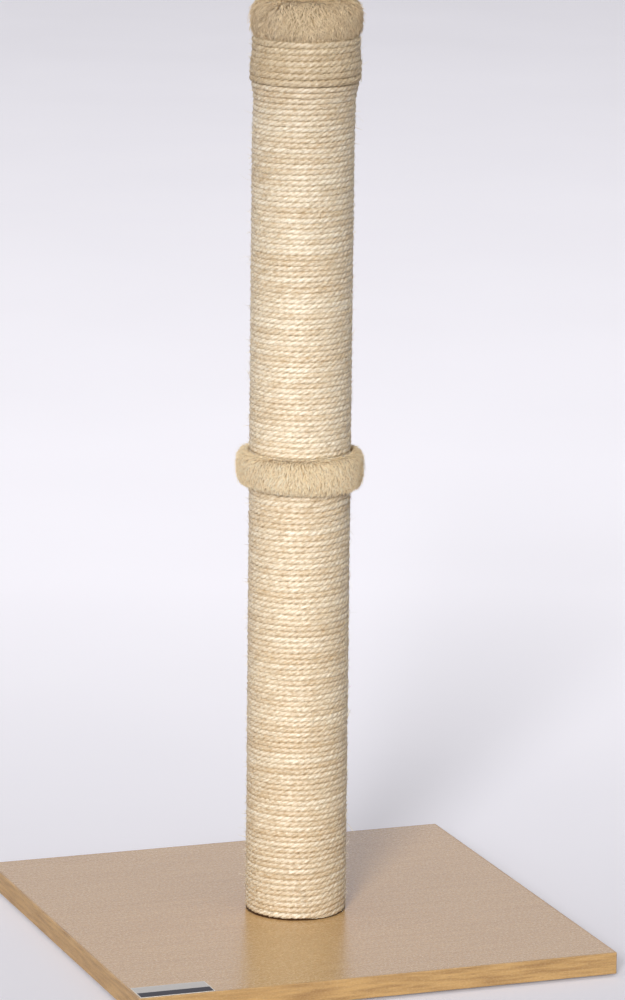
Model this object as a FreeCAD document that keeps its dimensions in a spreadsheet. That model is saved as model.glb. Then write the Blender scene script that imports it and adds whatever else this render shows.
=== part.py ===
import FreeCAD, Part
import Sketcher
import math
import os
from FreeCAD import Placement, Rotation, Vector

# Cat scratching post: a square laminated board, two wrapped tubes screwed end to end,
# a padded plush ring round their joint and a padded plush cap tied on with rope.
# Millimetres, +Z up. The origin is the middle of the floor face, under the post.

doc = FreeCAD.newDocument("scratching_post")
sizes = doc.addObject("Spreadsheet::Sheet", "sizes")

DRIVING_SIZES = {
    # board
    "board_side": 500,
    "board_thick": 22,
    "laminate_thick": 0.8,
    "band_thick": 2,
    "band_corner": 1.5,
    "band_arris": 0.8,
    "pad_dia": 30,
    "pad_thick": 3,
    "pad_inset": 45,
    "pad_chamfer": 0.5,
    "label_length": 76,
    "label_width": 33,
    "label_thick": 0.3,
    "label_margin": 2.5,
    # tubes and end plugs
    "tube_dia": 90,
    "tube_wall": 4,
    "section_length": 457,
    "plug_thick": 20,
    "plug_gap": 0.1,
    "nail_dia": 1.6,
    "nail_length": 18,
    "nail_gap": 0.05,
    # screwed joints
    "thread_dia": 10,
    "thread_gap": 0.05,
    "bolt_length": 40,
    "stud_length": 50,
    "hex_flats": 17,
    "hex_thick": 6.4,
    "washer_dia": 30,
    "washer_thick": 2.5,
    "recess_dia": 34,
    "recess_depth": 10,
    "hole_gap": 0.5,
    "insert_dia": 13,
    "insert_length": 13,
    "flange_dia": 25,
    "flange_thick": 1.8,
    "insert_gap": 0.05,
    # rope
    "rope_dia": 6,
    "lower_pitch": 5.83,
    "upper_pitch": 5.4,
    "binding_pitch": 6.4,
    "wrap_loops": 24,
    "binding_loops": 6,
    "turn_gap": 0.45,
    "seat_gap": 0.3,
    # plush ring round the joint
    "ring_dia": 128.7,
    "ring_height": 40,
    "ring_shoulder": 7.5,
    "ring_crown": 0.75,
    "cover_thick": 4,
    "skin_gap": 0.2,
    # plush cap on the top end, measured from the end of the tube
    "crest_radius": 36,
    "crest_height": 17,
    "roll_radius": 19.7,
    "flank_radius": 15,
    "tuck_depth": 21,
    "screw_dia": 4,
    "screw_length": 22,
    "screw_head_dia": 8,
    "screw_head_thick": 2.5,
    "cap_washer_dia": 20,
    "cap_washer_thick": 1.2,
}

for row, (alias, number) in enumerate(DRIVING_SIZES.items(), start=1):
    sizes.set(f"A{row}", alias.replace("_", " "))
    sizes.set(f"B{row}", str(number))
    sizes.setAlias(f"B{row}", alias)
doc.recompute()

# Levels and radii that several pieces share, as expressions on the sheet.
BOARD_UNDERSIDE = "sizes.pad_thick"
BOARD_TOP = "(sizes.pad_thick + sizes.board_thick)"
JOINT = f"({BOARD_TOP} + sizes.section_length)"
TUBE_END = f"({BOARD_TOP} + 2 * sizes.section_length)"
TUBE_RADIUS = "(sizes.tube_dia / 2)"
BORE_DIA = "(sizes.tube_dia - 2 * sizes.tube_wall)"
BOLT_HOLE_DIA = "(sizes.thread_dia + 2 * sizes.hole_gap)"
THREAD_BORE_DIA = "(sizes.thread_dia + 2 * sizes.thread_gap)"
SKIN_RADIUS = f"({TUBE_RADIUS} + sizes.skin_gap)"
RING_UNDERSIDE = f"({JOINT} - sizes.ring_height / 2)"
RING_TOP = f"({JOINT} + sizes.ring_height / 2)"

UPSIDE_DOWN = Rotation(Vector(1, 0, 0), 180)
FRONT_ANGLE = -math.pi / 2
NAILS_ROUND_TUBE = 4
SAMPLES_PER_TURN = 72

pieces = []


def value(expression):
    """The number that an expression on the sheet comes to."""
    return float(sizes.evalExpression(expression))


def keep(piece, label):
    """Names a finished sub-part and puts it on the list of files to write."""
    piece.Label = label
    pieces.append(piece)
    return piece


def stand_at(piece, level, rotation=None):
    """Sets the sub-part's own zero level at the given height."""
    piece.Placement = Placement(Vector(0, 0, value(level)), rotation or Rotation())
    piece.setExpression("Placement.Base.z", level)


# ---------------------------------------------------------------- sketches

def new_body(name):
    return doc.addObject("PartDesign::Body", name)


def origin_plane(body, role):
    return next(part for part in body.Origin.OriginFeatures if part.Role == role)


def new_sketch(body, name, role, offset=None):
    sketch = body.newObject("Sketcher::SketchObject", f"{body.Name}_{name}")
    sketch.AttachmentSupport = [(origin_plane(body, role), "")]
    sketch.MapMode = "FlatFace"
    if offset:
        sketch.AttachmentOffset = Placement(Vector(0, 0, value(offset)), Rotation())
        sketch.setExpression("AttachmentOffset.Base.z", offset)
    return sketch


def hold(sketch, kind, *items):
    """Adds one constraint whose last item is the expression that drives it."""
    *place, expression = items
    index = sketch.addConstraint(Sketcher.Constraint(kind, *place, value(expression)))
    sketch.setExpression(f"Constraints[{index}]", expression)


def add_circle(sketch, diameter, across="0", along="0"):
    centre = Vector(value(across), value(along), 0)
    circle = Part.Circle(centre, Vector(0, 0, 1), value(diameter) / 2)
    index = sketch.addGeometry(circle, False)
    hold(sketch, "Diameter", index, diameter)
    if across == "0" and along == "0":
        sketch.addConstraint(Sketcher.Constraint("Coincident", index, 3, -1, 1))
    else:
        hold(sketch, "DistanceX", index, 3, across)
        hold(sketch, "DistanceY", index, 3, along)


def add_outline(sketch, corners, bends=None):
    """Closed outline through corners written as expressions.

    bends maps the number of each side that is an arc to (swells_left, radius),
    where left is seen by someone walking the corners in order.
    """
    bends = bends or {}
    points = [Vector(value(x), value(y), 0) for x, y in corners]
    ends = []
    for side, start in enumerate(points):
        finish = points[(side + 1) % len(points)]
        if side in bends:
            swells_left, expression = bends[side]
            radius = value(expression)
            chord = finish - start
            half = chord.Length / 2
            rise = radius - math.sqrt(radius ** 2 - half ** 2)
            normal = Vector(-chord.y, chord.x, 0).normalize()
            middle = (start + finish) / 2 + normal * (rise if swells_left else -rise)
            index = sketch.addGeometry(Part.Arc(start, middle, finish), False)
            hold(sketch, "Radius", index, expression)
        else:
            index = sketch.addGeometry(Part.LineSegment(start, finish), False)
        to_first, to_second = ((sketch.getPoint(index, end) - start).Length for end in (1, 2))
        ends.append((index, 1, 2) if to_first < to_second else (index, 2, 1))
    for side, (index, first, last) in enumerate(ends):
        following, its_first = ends[(side + 1) % len(ends)][:2]
        sketch.addConstraint(Sketcher.Constraint("Coincident", index, last, following, its_first))
        hold(sketch, "DistanceX", index, first, corners[side][0])
        hold(sketch, "DistanceY", index, first, corners[side][1])


def add_rectangle(sketch, length, width, middle_y="0"):
    """Rectangle centred on the sketch's vertical axis."""
    near = f"({middle_y} - {width} / 2)"
    far = f"({middle_y} + {width} / 2)"
    left = f"(0 - {length} / 2)"
    right = f"({length} / 2)"
    add_outline(sketch, [(left, near), (right, near), (right, far), (left, far)])


# ---------------------------------------------------------------- features

def pad(body, sketch, length, name="pad"):
    feature = body.newObject("PartDesign::Pad", f"{body.Name}_{name}")
    feature.Profile = sketch
    feature.Length = value(length)
    feature.setExpression("Length", length)
    doc.recompute()
    return feature


def pocket(body, sketch, depth, name="pocket", through=False):
    """Cuts along the sketch's normal and makes sure that something was cut."""
    before = body.Shape.Volume
    feature = body.newObject("PartDesign::Pocket", f"{body.Name}_{name}")
    feature.Profile = sketch
    feature.Reversed = True
    if through:
        feature.Type = "ThroughAll"
    else:
        feature.Length = value(depth)
        feature.setExpression("Length", depth)
    doc.recompute()
    if body.Shape.Volume >= before:
        raise RuntimeError(f"{feature.Name} cuts nothing")
    return feature


def round_edges(body, base, radius, test, name="rounding"):
    """Rounds the edges of the last feature whose middle point passes the test."""
    chosen = []
    for number, edge in enumerate(base.Shape.Edges, start=1):
        middle = edge.valueAt((edge.FirstParameter + edge.LastParameter) / 2)
        if test(edge, middle):
            chosen.append(f"Edge{number}")
    feature = body.newObject("PartDesign::Fillet", f"{body.Name}_{name}")
    feature.Base = (base, chosen)
    feature.Radius = value(radius)
    feature.setExpression("Radius", radius)
    doc.recompute()
    return feature


def revolve(body, sketch, name="revolution"):
    feature = body.newObject("PartDesign::Revolution", f"{body.Name}_{name}")
    feature.Profile = sketch
    feature.ReferenceAxis = (sketch, ["V_Axis"])
    feature.Angle = 360
    doc.recompute()
    return feature


def tube_piece(name, length, outer, *inner):
    """Round piece with its axis on Z: a disc, washer, sleeve or tube."""
    body = new_body(name)
    sketch = new_sketch(body, "section", "XY_Plane")
    for diameter in (outer, *inner):
        add_circle(sketch, diameter)
    pad(body, sketch, length)
    return body


def nail_holes(body, level, name):
    """Four radial holes at one level, open outwards and as deep as the nails."""
    depth = f"({TUBE_RADIUS} - sizes.nail_length - sizes.nail_gap)"
    sketch = new_sketch(body, f"{name}_circle", "XZ_Plane", offset=depth)
    add_circle(sketch, "(sizes.nail_dia + 2 * sizes.nail_gap)", "0", level)
    hole = pocket(body, sketch, None, f"{name}_hole", through=True)
    before = body.Shape.Volume
    pattern = body.newObject("PartDesign::PolarPattern", f"{body.Name}_{name}_holes")
    pattern.Originals = [hole]
    pattern.Axis = (origin_plane(body, "Z_Axis"), [""])
    pattern.Angle = 360
    pattern.Occurrences = NAILS_ROUND_TUBE
    body.Tip = pattern
    doc.recompute()
    if body.Shape.Volume >= before:
        raise RuntimeError(f"{pattern.Name} adds no holes")


# ---------------------------------------------------------------- board

def board_core():
    """Chipboard panel with the bolt hole and the recess for its head below."""
    body = new_body("base_core")
    thickness = "(sizes.board_thick - 2 * sizes.laminate_thick)"
    side = "(sizes.board_side - 2 * sizes.band_thick)"
    panel = new_sketch(body, "panel", "XY_Plane")
    add_rectangle(panel, side, side)
    add_circle(panel, BOLT_HOLE_DIA)
    pad(body, panel, thickness)
    recess = new_sketch(body, "recess", "XY_Plane")
    add_circle(recess, "sizes.recess_dia")
    pocket(body, recess, "(sizes.recess_depth - sizes.laminate_thick)")
    stand_at(body, f"({BOARD_UNDERSIDE} + sizes.laminate_thick)")
    keep(body, "base_core")


def laminate(label, hole, level):
    """Decor laminate on one face of the panel."""
    body = new_body(label)
    side = "(sizes.board_side - 2 * sizes.band_thick)"
    sheet = new_sketch(body, "sheet", "XY_Plane")
    add_rectangle(sheet, side, side)
    add_circle(sheet, hole)
    pad(body, sheet, "sizes.laminate_thick")
    stand_at(body, level)
    keep(body, label)


def edge_band(label, quarter_turns, full_length):
    """Edge band along one side. The full-length ones close the corners."""
    body = new_body(label)
    length = "sizes.board_side" if full_length else "(sizes.board_side - 2 * sizes.band_thick)"
    strip = new_sketch(body, "strip", "XY_Plane")
    add_rectangle(strip, length, "sizes.band_thick", "(sizes.band_thick / 2 - sizes.board_side / 2)")
    base = pad(body, strip, "sizes.board_thick")
    half_side = value("sizes.board_side / 2")
    outer, inner = -half_side, -half_side + value("sizes.band_thick")
    near = value("sizes.band_thick") / 4

    def corner(edge, middle):
        upright = abs(edge.tangentAt(edge.FirstParameter).z) > 0.9
        return upright and abs(middle.y - outer) < near

    def arris(edge, middle):
        level = abs(edge.tangentAt(edge.FirstParameter).z) < 0.1
        at_end = abs(abs(middle.x) - half_side) < near
        return level and abs(middle.y - inner) > near and (full_length or not at_end)

    def long_arris(edge, middle):
        return arris(edge, middle) and abs(middle.y - outer) < near

    if full_length:
        base = round_edges(body, base, "sizes.band_corner", corner, "corners")
        round_edges(body, base, "sizes.band_arris", arris, "arrises")
    else:
        round_edges(body, base, "sizes.band_arris", long_arris, "arrises")
    turn = Rotation(Vector(0, 0, 1), 90 * quarter_turns)
    stand_at(body, BOARD_UNDERSIDE, turn)
    keep(body, label)


def foot_pad(label, side_x, side_y):
    """Felt disc glued under one corner of the board."""
    body = new_body(label)
    disc = new_sketch(body, "disc", "XY_Plane")
    add_circle(disc, "sizes.pad_dia")
    base = pad(body, disc, "sizes.pad_thick")
    rim = [f"Edge{number}" for number, edge in enumerate(base.Shape.Edges, start=1)
           if edge.BoundBox.ZMax < value("sizes.pad_thick") / 2]
    chamfer = body.newObject("PartDesign::Chamfer", f"{label}_chamfer")
    chamfer.Base = (base, rim)
    chamfer.Size = value("sizes.pad_chamfer")
    chamfer.setExpression("Size", "sizes.pad_chamfer")
    doc.recompute()
    for axis, side in (("x", side_x), ("y", side_y)):
        body.setExpression(f"Placement.Base.{axis}", f"{side} * (sizes.board_side / 2 - sizes.pad_inset)")
    keep(body, label)


def corner_label():
    """Blank two-tone sticker on the board's front left corner."""
    sticker = doc.addObject("Part::Box", "corner_label")
    for prop, expression in (
        ("Length", "sizes.label_length"),
        ("Width", "sizes.label_width"),
        ("Height", "sizes.label_thick"),
        ("Placement.Base.x", "sizes.label_margin - sizes.board_side / 2"),
        ("Placement.Base.y", "sizes.label_margin - sizes.board_side / 2"),
        ("Placement.Base.z", BOARD_TOP),
    ):
        sticker.setExpression(prop, expression)
    keep(sticker, "corner_label")


# ---------------------------------------------------------------- screwed joints

def base_bolt():
    """Hexagon bolt from below, its head inside the board's recess."""
    head = doc.addObject("Part::Prism", "bolt_head")
    head.Polygon = 6
    head.setExpression("Circumradius", "sizes.hex_flats / 2 / cos(30)")
    head.setExpression("Height", "sizes.hex_thick")
    shank = doc.addObject("Part::Cylinder", "bolt_shank")
    shank.setExpression("Radius", "sizes.thread_dia / 2")
    shank.setExpression("Height", "sizes.hex_thick + sizes.bolt_length")
    bolt = doc.addObject("Part::Fuse", "base_bolt")
    bolt.Base = head
    bolt.Tool = shank
    bolt.Refine = True
    stand_at(bolt, f"({BOARD_UNDERSIDE} + sizes.recess_depth - sizes.washer_thick - sizes.hex_thick)")
    keep(bolt, "base_bolt")


def base_washer():
    body = tube_piece("base_washer", "sizes.washer_thick", "sizes.washer_dia", BOLT_HOLE_DIA)
    stand_at(body, f"({BOARD_UNDERSIDE} + sizes.recess_depth - sizes.washer_thick)")
    keep(body, "base_washer")


def insert_nut(label, level, upside_down=False):
    """Flanged insert nut. The flange bears on the plug's face away from the joint."""
    body = new_body(label)
    flange = new_sketch(body, "flange", "XY_Plane")
    add_circle(flange, "sizes.flange_dia")
    add_circle(flange, THREAD_BORE_DIA)
    pad(body, flange, "sizes.flange_thick", "flange_pad")
    barrel = new_sketch(body, "barrel", "XY_Plane")
    add_circle(barrel, "sizes.insert_dia")
    add_circle(barrel, THREAD_BORE_DIA)
    sleeve = pad(body, barrel, "sizes.insert_length", "barrel_pad")
    sleeve.Reversed = True
    doc.recompute()
    stand_at(body, level, UPSIDE_DOWN if upside_down else None)
    keep(body, label)


def joining_stud():
    """Threaded rod across the joint of the two tubes."""
    body = tube_piece("joining_stud", "sizes.stud_length", "sizes.thread_dia")
    stand_at(body, f"({JOINT} - sizes.stud_length / 2)")
    keep(body, "joining_stud")


# ---------------------------------------------------------------- tubes and plugs

PLUG_MIDDLES = {
    "lower_foot": f"({BOARD_TOP} + sizes.plug_thick / 2)",
    "lower_head": f"({JOINT} - sizes.plug_thick / 2)",
    "upper_foot": f"({JOINT} + sizes.plug_thick / 2)",
    "upper_head": f"({TUBE_END} - sizes.plug_thick / 2)",
}


def card_tube(label, level):
    """Cardboard tube with nail holes at the middle of both plugs."""
    body = tube_piece(label, "sizes.section_length", "sizes.tube_dia", BORE_DIA)
    nail_holes(body, "(sizes.plug_thick / 2)", "foot")
    nail_holes(body, "(sizes.section_length - sizes.plug_thick / 2)", "head")
    stand_at(body, level)
    keep(body, label)


def end_plug(label, middle, bore):
    """Wooden disc nailed inside one end of a tube."""
    outer = f"({BORE_DIA} - 2 * sizes.plug_gap)"
    body = tube_piece(label, "sizes.plug_thick", outer, bore)
    nail_holes(body, "(sizes.plug_thick / 2)", "side")
    stand_at(body, f"({middle} - sizes.plug_thick / 2)")
    keep(body, label)


def plug_nails():
    """Headless nails through the tubes into the plugs, four at each plug."""
    outer = value(TUBE_RADIUS)
    length = sizes.nail_length
    nails = []
    for middle in PLUG_MIDDLES.values():
        for number in range(NAILS_ROUND_TUBE):
            angle = 2 * math.pi * number / NAILS_ROUND_TUBE
            outward = Vector(math.cos(angle), math.sin(angle), 0)
            start = outward * (outer - length) + Vector(0, 0, value(middle))
            nails.append(Part.makeCylinder(sizes.nail_dia / 2, length, start, outward))
    group = doc.addObject("Part::Feature", "plug_nails")
    group.Shape = Part.makeCompound(nails)
    keep(group, "plug_nails")


# ---------------------------------------------------------------- rope

def helix_point(radius, pitch, turns, start):
    """Point and unit tangent of the winding after the given number of turns."""
    angle = 2 * math.pi * turns + start
    point = Vector(radius * math.cos(angle), radius * math.sin(angle), pitch * turns)
    around = 2 * math.pi * radius
    tangent = Vector(-around * math.sin(angle), around * math.cos(angle), pitch)
    return point, tangent.normalize()


def arc_between(start, corner, finish):
    """Arc that leaves start and reaches finish along the lines to their shared corner."""
    half_chord = (finish - start).Length / 2
    chord_middle = (start + finish) / 2
    slope = (corner - chord_middle).Length / half_chord
    share = math.tan(math.atan(slope) / 2) / slope
    return Part.Arc(start, chord_middle + (corner - chord_middle) * share, finish).toShape()


def biarc(first, first_way, last, last_way):
    """Two tangent arcs from one point and direction to another."""
    across = last - first
    sum_ways = first_way + last_way
    a = 2 * (first_way.dot(last_way) - 1)
    b = -2 * across.dot(sum_ways)
    c = across.dot(across)
    reach = (-b - math.sqrt(b * b - 4 * a * c)) / (2 * a)
    if reach < 0:
        reach = (-b + math.sqrt(b * b - 4 * a * c)) / (2 * a)
    leave = first + first_way * reach
    arrive = last - last_way * reach
    joint = (leave + arrive) / 2
    return [arc_between(first, leave, joint), arc_between(joint, arrive, last)]


def least_self_gap(points, diameter):
    """Smallest clear distance between stretches from half a turn to two turns apart."""
    nearest, furthest = SAMPLES_PER_TURN // 2, 2 * SAMPLES_PER_TURN
    least = min((points[i] - points[j]).Length
                for i in range(len(points))
                for j in range(i + nearest, min(i + furthest, len(points))))
    return least - diameter


def wound_rope(label, inner_radius, pitch, loops, top, start_angle):
    """One unbroken rope wound upwards round the post, its top turn just under a level."""
    diameter = pitch - sizes.turn_gap
    radius = inner_radius + sizes.seat_gap + diameter / 2
    spans = int(round(2 * loops))
    joints = [helix_point(radius, pitch, number / 2, start_angle) for number in range(spans + 1)]
    (first, first_way), (last, last_way) = joints[0], joints[-1]
    lead_in = first - first_way * diameter
    edges = [Part.LineSegment(lead_in, first).toShape()]
    for (here, here_way), (there, there_way) in zip(joints, joints[1:]):
        edges += biarc(here, here_way, there, there_way)
    edges.append(Part.LineSegment(last, last + last_way * diameter).toShape())
    path = Part.Wire(edges)
    section = Part.Wire([Part.makeCircle(diameter / 2, lead_in, first_way)])
    solid = path.makePipeShell([section], True)

    samples = [lead_in]
    samples += [helix_point(radius, pitch, number / SAMPLES_PER_TURN, start_angle)[0]
                for number in range(int(loops * SAMPLES_PER_TURN) + 1)]
    samples.append(last + last_way * diameter)
    expected = path.Length * math.pi * diameter ** 2 / 4
    print(f"{label}: length {path.Length:.0f} mm, least gap to itself "
          f"{least_self_gap(samples, diameter):.2f} mm, "
          f"volume over section times length {solid.Volume / expected:.4f}")

    start_level = top - sizes.seat_gap - diameter / 2 - pitch * loops
    rope = doc.addObject("Part::Feature", label)
    rope.Shape = solid
    rope.Placement = Placement(Vector(0, 0, start_level), Rotation())
    keep(rope, label)


def rope_wrap(label, bottom, top):
    """The winding's remaining turns as a plain sleeve between two levels."""
    inner = "(sizes.tube_dia + 2 * sizes.skin_gap)"
    outer = "(sizes.tube_dia + 2 * sizes.rope_dia)"
    body = tube_piece(label, f"({top} - {bottom})", outer, inner)
    stand_at(body, bottom)
    keep(body, label)


def wrap_top(pitch, top):
    """Level where the plain wrap ends below a winding's modelled turns, as an expression."""
    diameter = f"({pitch} - sizes.turn_gap)"
    return f"({top} - 2 * sizes.seat_gap - {diameter} - {pitch} * sizes.wrap_loops)"


# ---------------------------------------------------------------- plush ring and cap

RING_FLANK = "(sizes.ring_dia / 2 - sizes.ring_crown)"
FLANK_HALF_HEIGHT = "(sizes.ring_height / 2 - sizes.ring_shoulder)"
CROWN_RADIUS = (f"(({FLANK_HALF_HEIGHT} * {FLANK_HALF_HEIGHT} / sizes.ring_crown"
                " + sizes.ring_crown) / 2)")


def ring_corners(inset):
    """Section of the ring from the tube outwards, set in from its outer skin."""
    flank = f"({RING_FLANK} - {inset})"
    lip = f"({RING_FLANK} - sizes.ring_shoulder)"
    half_height = f"(sizes.ring_height / 2 - {inset})"
    return [
        (SKIN_RADIUS, f"(0 - {half_height})"),
        (lip, f"(0 - {half_height})"),
        (flank, f"(0 - {FLANK_HALF_HEIGHT})"),
        (flank, FLANK_HALF_HEIGHT),
        (lip, half_height),
        (SKIN_RADIUS, half_height),
    ]


def ring_bends(first_side, swells_left, inset):
    """Round shoulder, crowned flank and round shoulder, from the given side on."""
    shoulder = f"(sizes.ring_shoulder - {inset})"
    radii = (shoulder, CROWN_RADIUS, shoulder)
    return {first_side + step: (swells_left, radius) for step, radius in enumerate(radii)}


def ring_padding():
    """Foam band round the butt joint of the tubes."""
    body = new_body("ring_padding")
    inset = "(sizes.cover_thick + sizes.seat_gap)"
    sketch = new_sketch(body, "section", "XZ_Plane")
    add_outline(sketch, ring_corners(inset), ring_bends(1, False, inset))
    revolve(body, sketch)
    stand_at(body, JOINT)
    keep(body, "ring_padding")


def ring_cover():
    """Plush strip over the padding, its lips turned in between the two windings."""
    body = new_body("ring_cover")
    outer = ring_corners("0")
    inner = ring_corners("sizes.cover_thick")[::-1]
    bends = {**ring_bends(1, False, "0"), **ring_bends(len(outer) + 1, True, "sizes.cover_thick")}
    sketch = new_sketch(body, "section", "XZ_Plane")
    add_outline(sketch, outer + inner, bends)
    revolve(body, sketch)
    stand_at(body, JOINT)
    keep(body, "ring_cover")


def roll_across(roll, height):
    """Half width of the cap's roll at a height above the end of the tube."""
    rise = f"({height} - sizes.crest_height + sizes.roll_radius)"
    return f"sqrt({roll} * {roll} - {rise} * {rise})"


CAP_EQUATOR = "(sizes.crest_height - sizes.roll_radius)"
SKIRT_RADIUS = f"({SKIN_RADIUS} + sizes.cover_thick)"
BINDING_TOP = f"({TUBE_END} - sizes.tuck_depth)"
BINDING_DIA = "(sizes.binding_pitch - sizes.turn_gap)"
SKIRT_DEPTH = (f"(sizes.tuck_depth + sizes.binding_pitch * sizes.binding_loops"
               f" + {BINDING_DIA} + 2 * sizes.seat_gap)")


def cap_padding():
    """Wadding roll over the tube's top edge."""
    body = new_body("cap_padding")
    inset = "(sizes.cover_thick + sizes.seat_gap)"
    roll = f"(sizes.roll_radius - {inset})"
    flank = f"(sizes.flank_radius - {inset})"
    sketch = new_sketch(body, "section", "XZ_Plane")
    corners = [
        (f"(sizes.crest_radius - {roll_across(roll, '0')})", "0"),
        (f"(sizes.crest_radius + {roll})", CAP_EQUATOR),
        (SKIN_RADIUS, f"({inset} - sizes.tuck_depth)"),
        (SKIN_RADIUS, "0"),
    ]
    add_outline(sketch, corners, {0: (True, roll), 1: (True, flank)})
    revolve(body, sketch)
    stand_at(body, TUBE_END)
    keep(body, "cap_padding")


def cap_cover():
    """Plush cap: a dimple screwed to the top plug, a full roll and a skirt under the binding."""
    body = new_body("cap_cover")
    thick = "sizes.cover_thick"
    hole = "(sizes.screw_dia / 2 + sizes.seat_gap)"
    roll = "sizes.roll_radius"
    inner_roll = "(sizes.roll_radius - sizes.cover_thick)"
    flank = "sizes.flank_radius"
    inner_flank = "(sizes.flank_radius - sizes.cover_thick)"
    sketch = new_sketch(body, "section", "XZ_Plane")
    corners = [
        (hole, thick),
        (f"(sizes.crest_radius - {roll_across(roll, thick)})", thick),
        (f"(sizes.crest_radius + {roll})", CAP_EQUATOR),
        (SKIRT_RADIUS, "(0 - sizes.tuck_depth)"),
        (SKIRT_RADIUS, f"(0 - {SKIRT_DEPTH})"),
        (SKIN_RADIUS, f"(0 - {SKIRT_DEPTH})"),
        (SKIN_RADIUS, f"({thick} - sizes.tuck_depth)"),
        (f"(sizes.crest_radius + {inner_roll})", CAP_EQUATOR),
        (f"(sizes.crest_radius - {roll_across(inner_roll, '0')})", "0"),
        (hole, "0"),
    ]
    bends = {1: (True, roll), 2: (True, flank), 6: (False, inner_flank), 7: (False, inner_roll)}
    add_outline(sketch, corners, bends)
    revolve(body, sketch)
    stand_at(body, TUBE_END)
    keep(body, "cap_cover")


def cap_fixing():
    """Screw and washer that pull the cap's dimple down to the top plug."""
    bore = "(sizes.screw_dia + 2 * sizes.seat_gap)"
    washer = tube_piece("cap_washer", "sizes.cap_washer_thick", "sizes.cap_washer_dia", bore)
    stand_at(washer, f"({TUBE_END} + sizes.cover_thick)")
    keep(washer, "cap_washer")
    screw = new_body("cap_screw")
    head = new_sketch(screw, "head", "XY_Plane")
    add_circle(head, "sizes.screw_head_dia")
    pad(screw, head, "sizes.screw_head_thick", "head_pad")
    shank = new_sketch(screw, "shank", "XY_Plane")
    add_circle(shank, "sizes.screw_dia")
    thread = pad(screw, shank, "sizes.screw_length", "shank_pad")
    thread.Reversed = True
    doc.recompute()
    stand_at(screw, f"({TUBE_END} + sizes.cover_thick + sizes.cap_washer_thick)")
    keep(screw, "cap_screw")


# ---------------------------------------------------------------- assembly

def make_board():
    board_core()
    laminate("base_top_laminate", BOLT_HOLE_DIA, f"({BOARD_TOP} - sizes.laminate_thick)")
    laminate("base_bottom_laminate", "sizes.recess_dia", BOARD_UNDERSIDE)
    bands = ("edge_band_front", "edge_band_right", "edge_band_rear", "edge_band_left")
    for quarter_turns, label in enumerate(bands):
        edge_band(label, quarter_turns, full_length=quarter_turns % 2 == 0)
    for depth, side_y in (("front", -1), ("rear", 1)):
        for hand, side_x in (("left", -1), ("right", 1)):
            foot_pad(f"foot_pad_{depth}_{hand}", side_x, side_y)
    corner_label()
    base_bolt()
    base_washer()


def make_post():
    card_tube("lower_tube", BOARD_TOP)
    card_tube("upper_tube", JOINT)
    insert_bore = "(sizes.insert_dia + 2 * sizes.insert_gap)"
    screw_bore = "(sizes.screw_dia + 2 * sizes.thread_gap)"
    for place, middle in PLUG_MIDDLES.items():
        end_plug(f"{place}_plug", middle, screw_bore if place == "upper_head" else insert_bore)
    plug_nails()
    insert_nut("lower_foot_insert", f"({BOARD_TOP} + sizes.plug_thick)")
    insert_nut("lower_head_insert", f"({JOINT} - sizes.plug_thick)", upside_down=True)
    insert_nut("upper_foot_insert", f"({JOINT} + sizes.plug_thick)")
    joining_stud()


def make_windings():
    loops = sizes.wrap_loops
    upper_top = f"({TUBE_END} - {SKIRT_DEPTH})"
    windings = (
        ("lower_rope", BOARD_TOP, RING_UNDERSIDE, "lower_pitch"),
        ("upper_rope", RING_TOP, upper_top, "upper_pitch"),
    )
    for name, bottom, top, pitch in windings:
        rope_wrap(f"{name}_wrap", f"({bottom} + sizes.seat_gap)", wrap_top(f"sizes.{pitch}", top))
        wound_rope(f"{name}_turns", value(TUBE_RADIUS), getattr(sizes, pitch), loops,
                   value(top), FRONT_ANGLE)
    wound_rope("binding_turns", value(SKIRT_RADIUS), sizes.binding_pitch, sizes.binding_loops,
               value(BINDING_TOP), FRONT_ANGLE)


def make_soft_parts():
    ring_padding()
    ring_cover()
    cap_padding()
    cap_cover()
    cap_fixing()


def check_document():
    """Stops if any object failed or any sub-part has no valid solid."""
    doc.recompute()
    failed = [item.Name for item in doc.Objects if {"Invalid", "Error"} & set(item.State)]
    broken = [item.Label for item in pieces if item.Shape.isNull() or not item.Shape.isValid()]
    if failed or broken:
        raise RuntimeError(f"failed objects {failed}, broken shapes {broken}")


def write_parts():
    os.makedirs("parts", exist_ok=True)
    for piece in pieces:
        piece.Shape.exportStep(f"parts/{piece.Label}.step")
    print(f"{len(pieces)} sub-parts written")


make_board()
make_post()
make_windings()
make_soft_parts()
check_document()
write_parts()
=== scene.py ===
"""Looks of a cat scratching post: laminated board, sisal windings, plush ring and plush cap.

Everything is in metres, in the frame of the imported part: +Z up, the origin on the floor
under the post, and the label at the front left corner of the board.
"""

import logging
import math
from abc import ABC, abstractmethod
from collections.abc import Callable, Sequence
from dataclasses import dataclass, field, replace
from enum import Enum

import bpy
import numpy as np
from mathutils import Matrix, Vector


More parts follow.
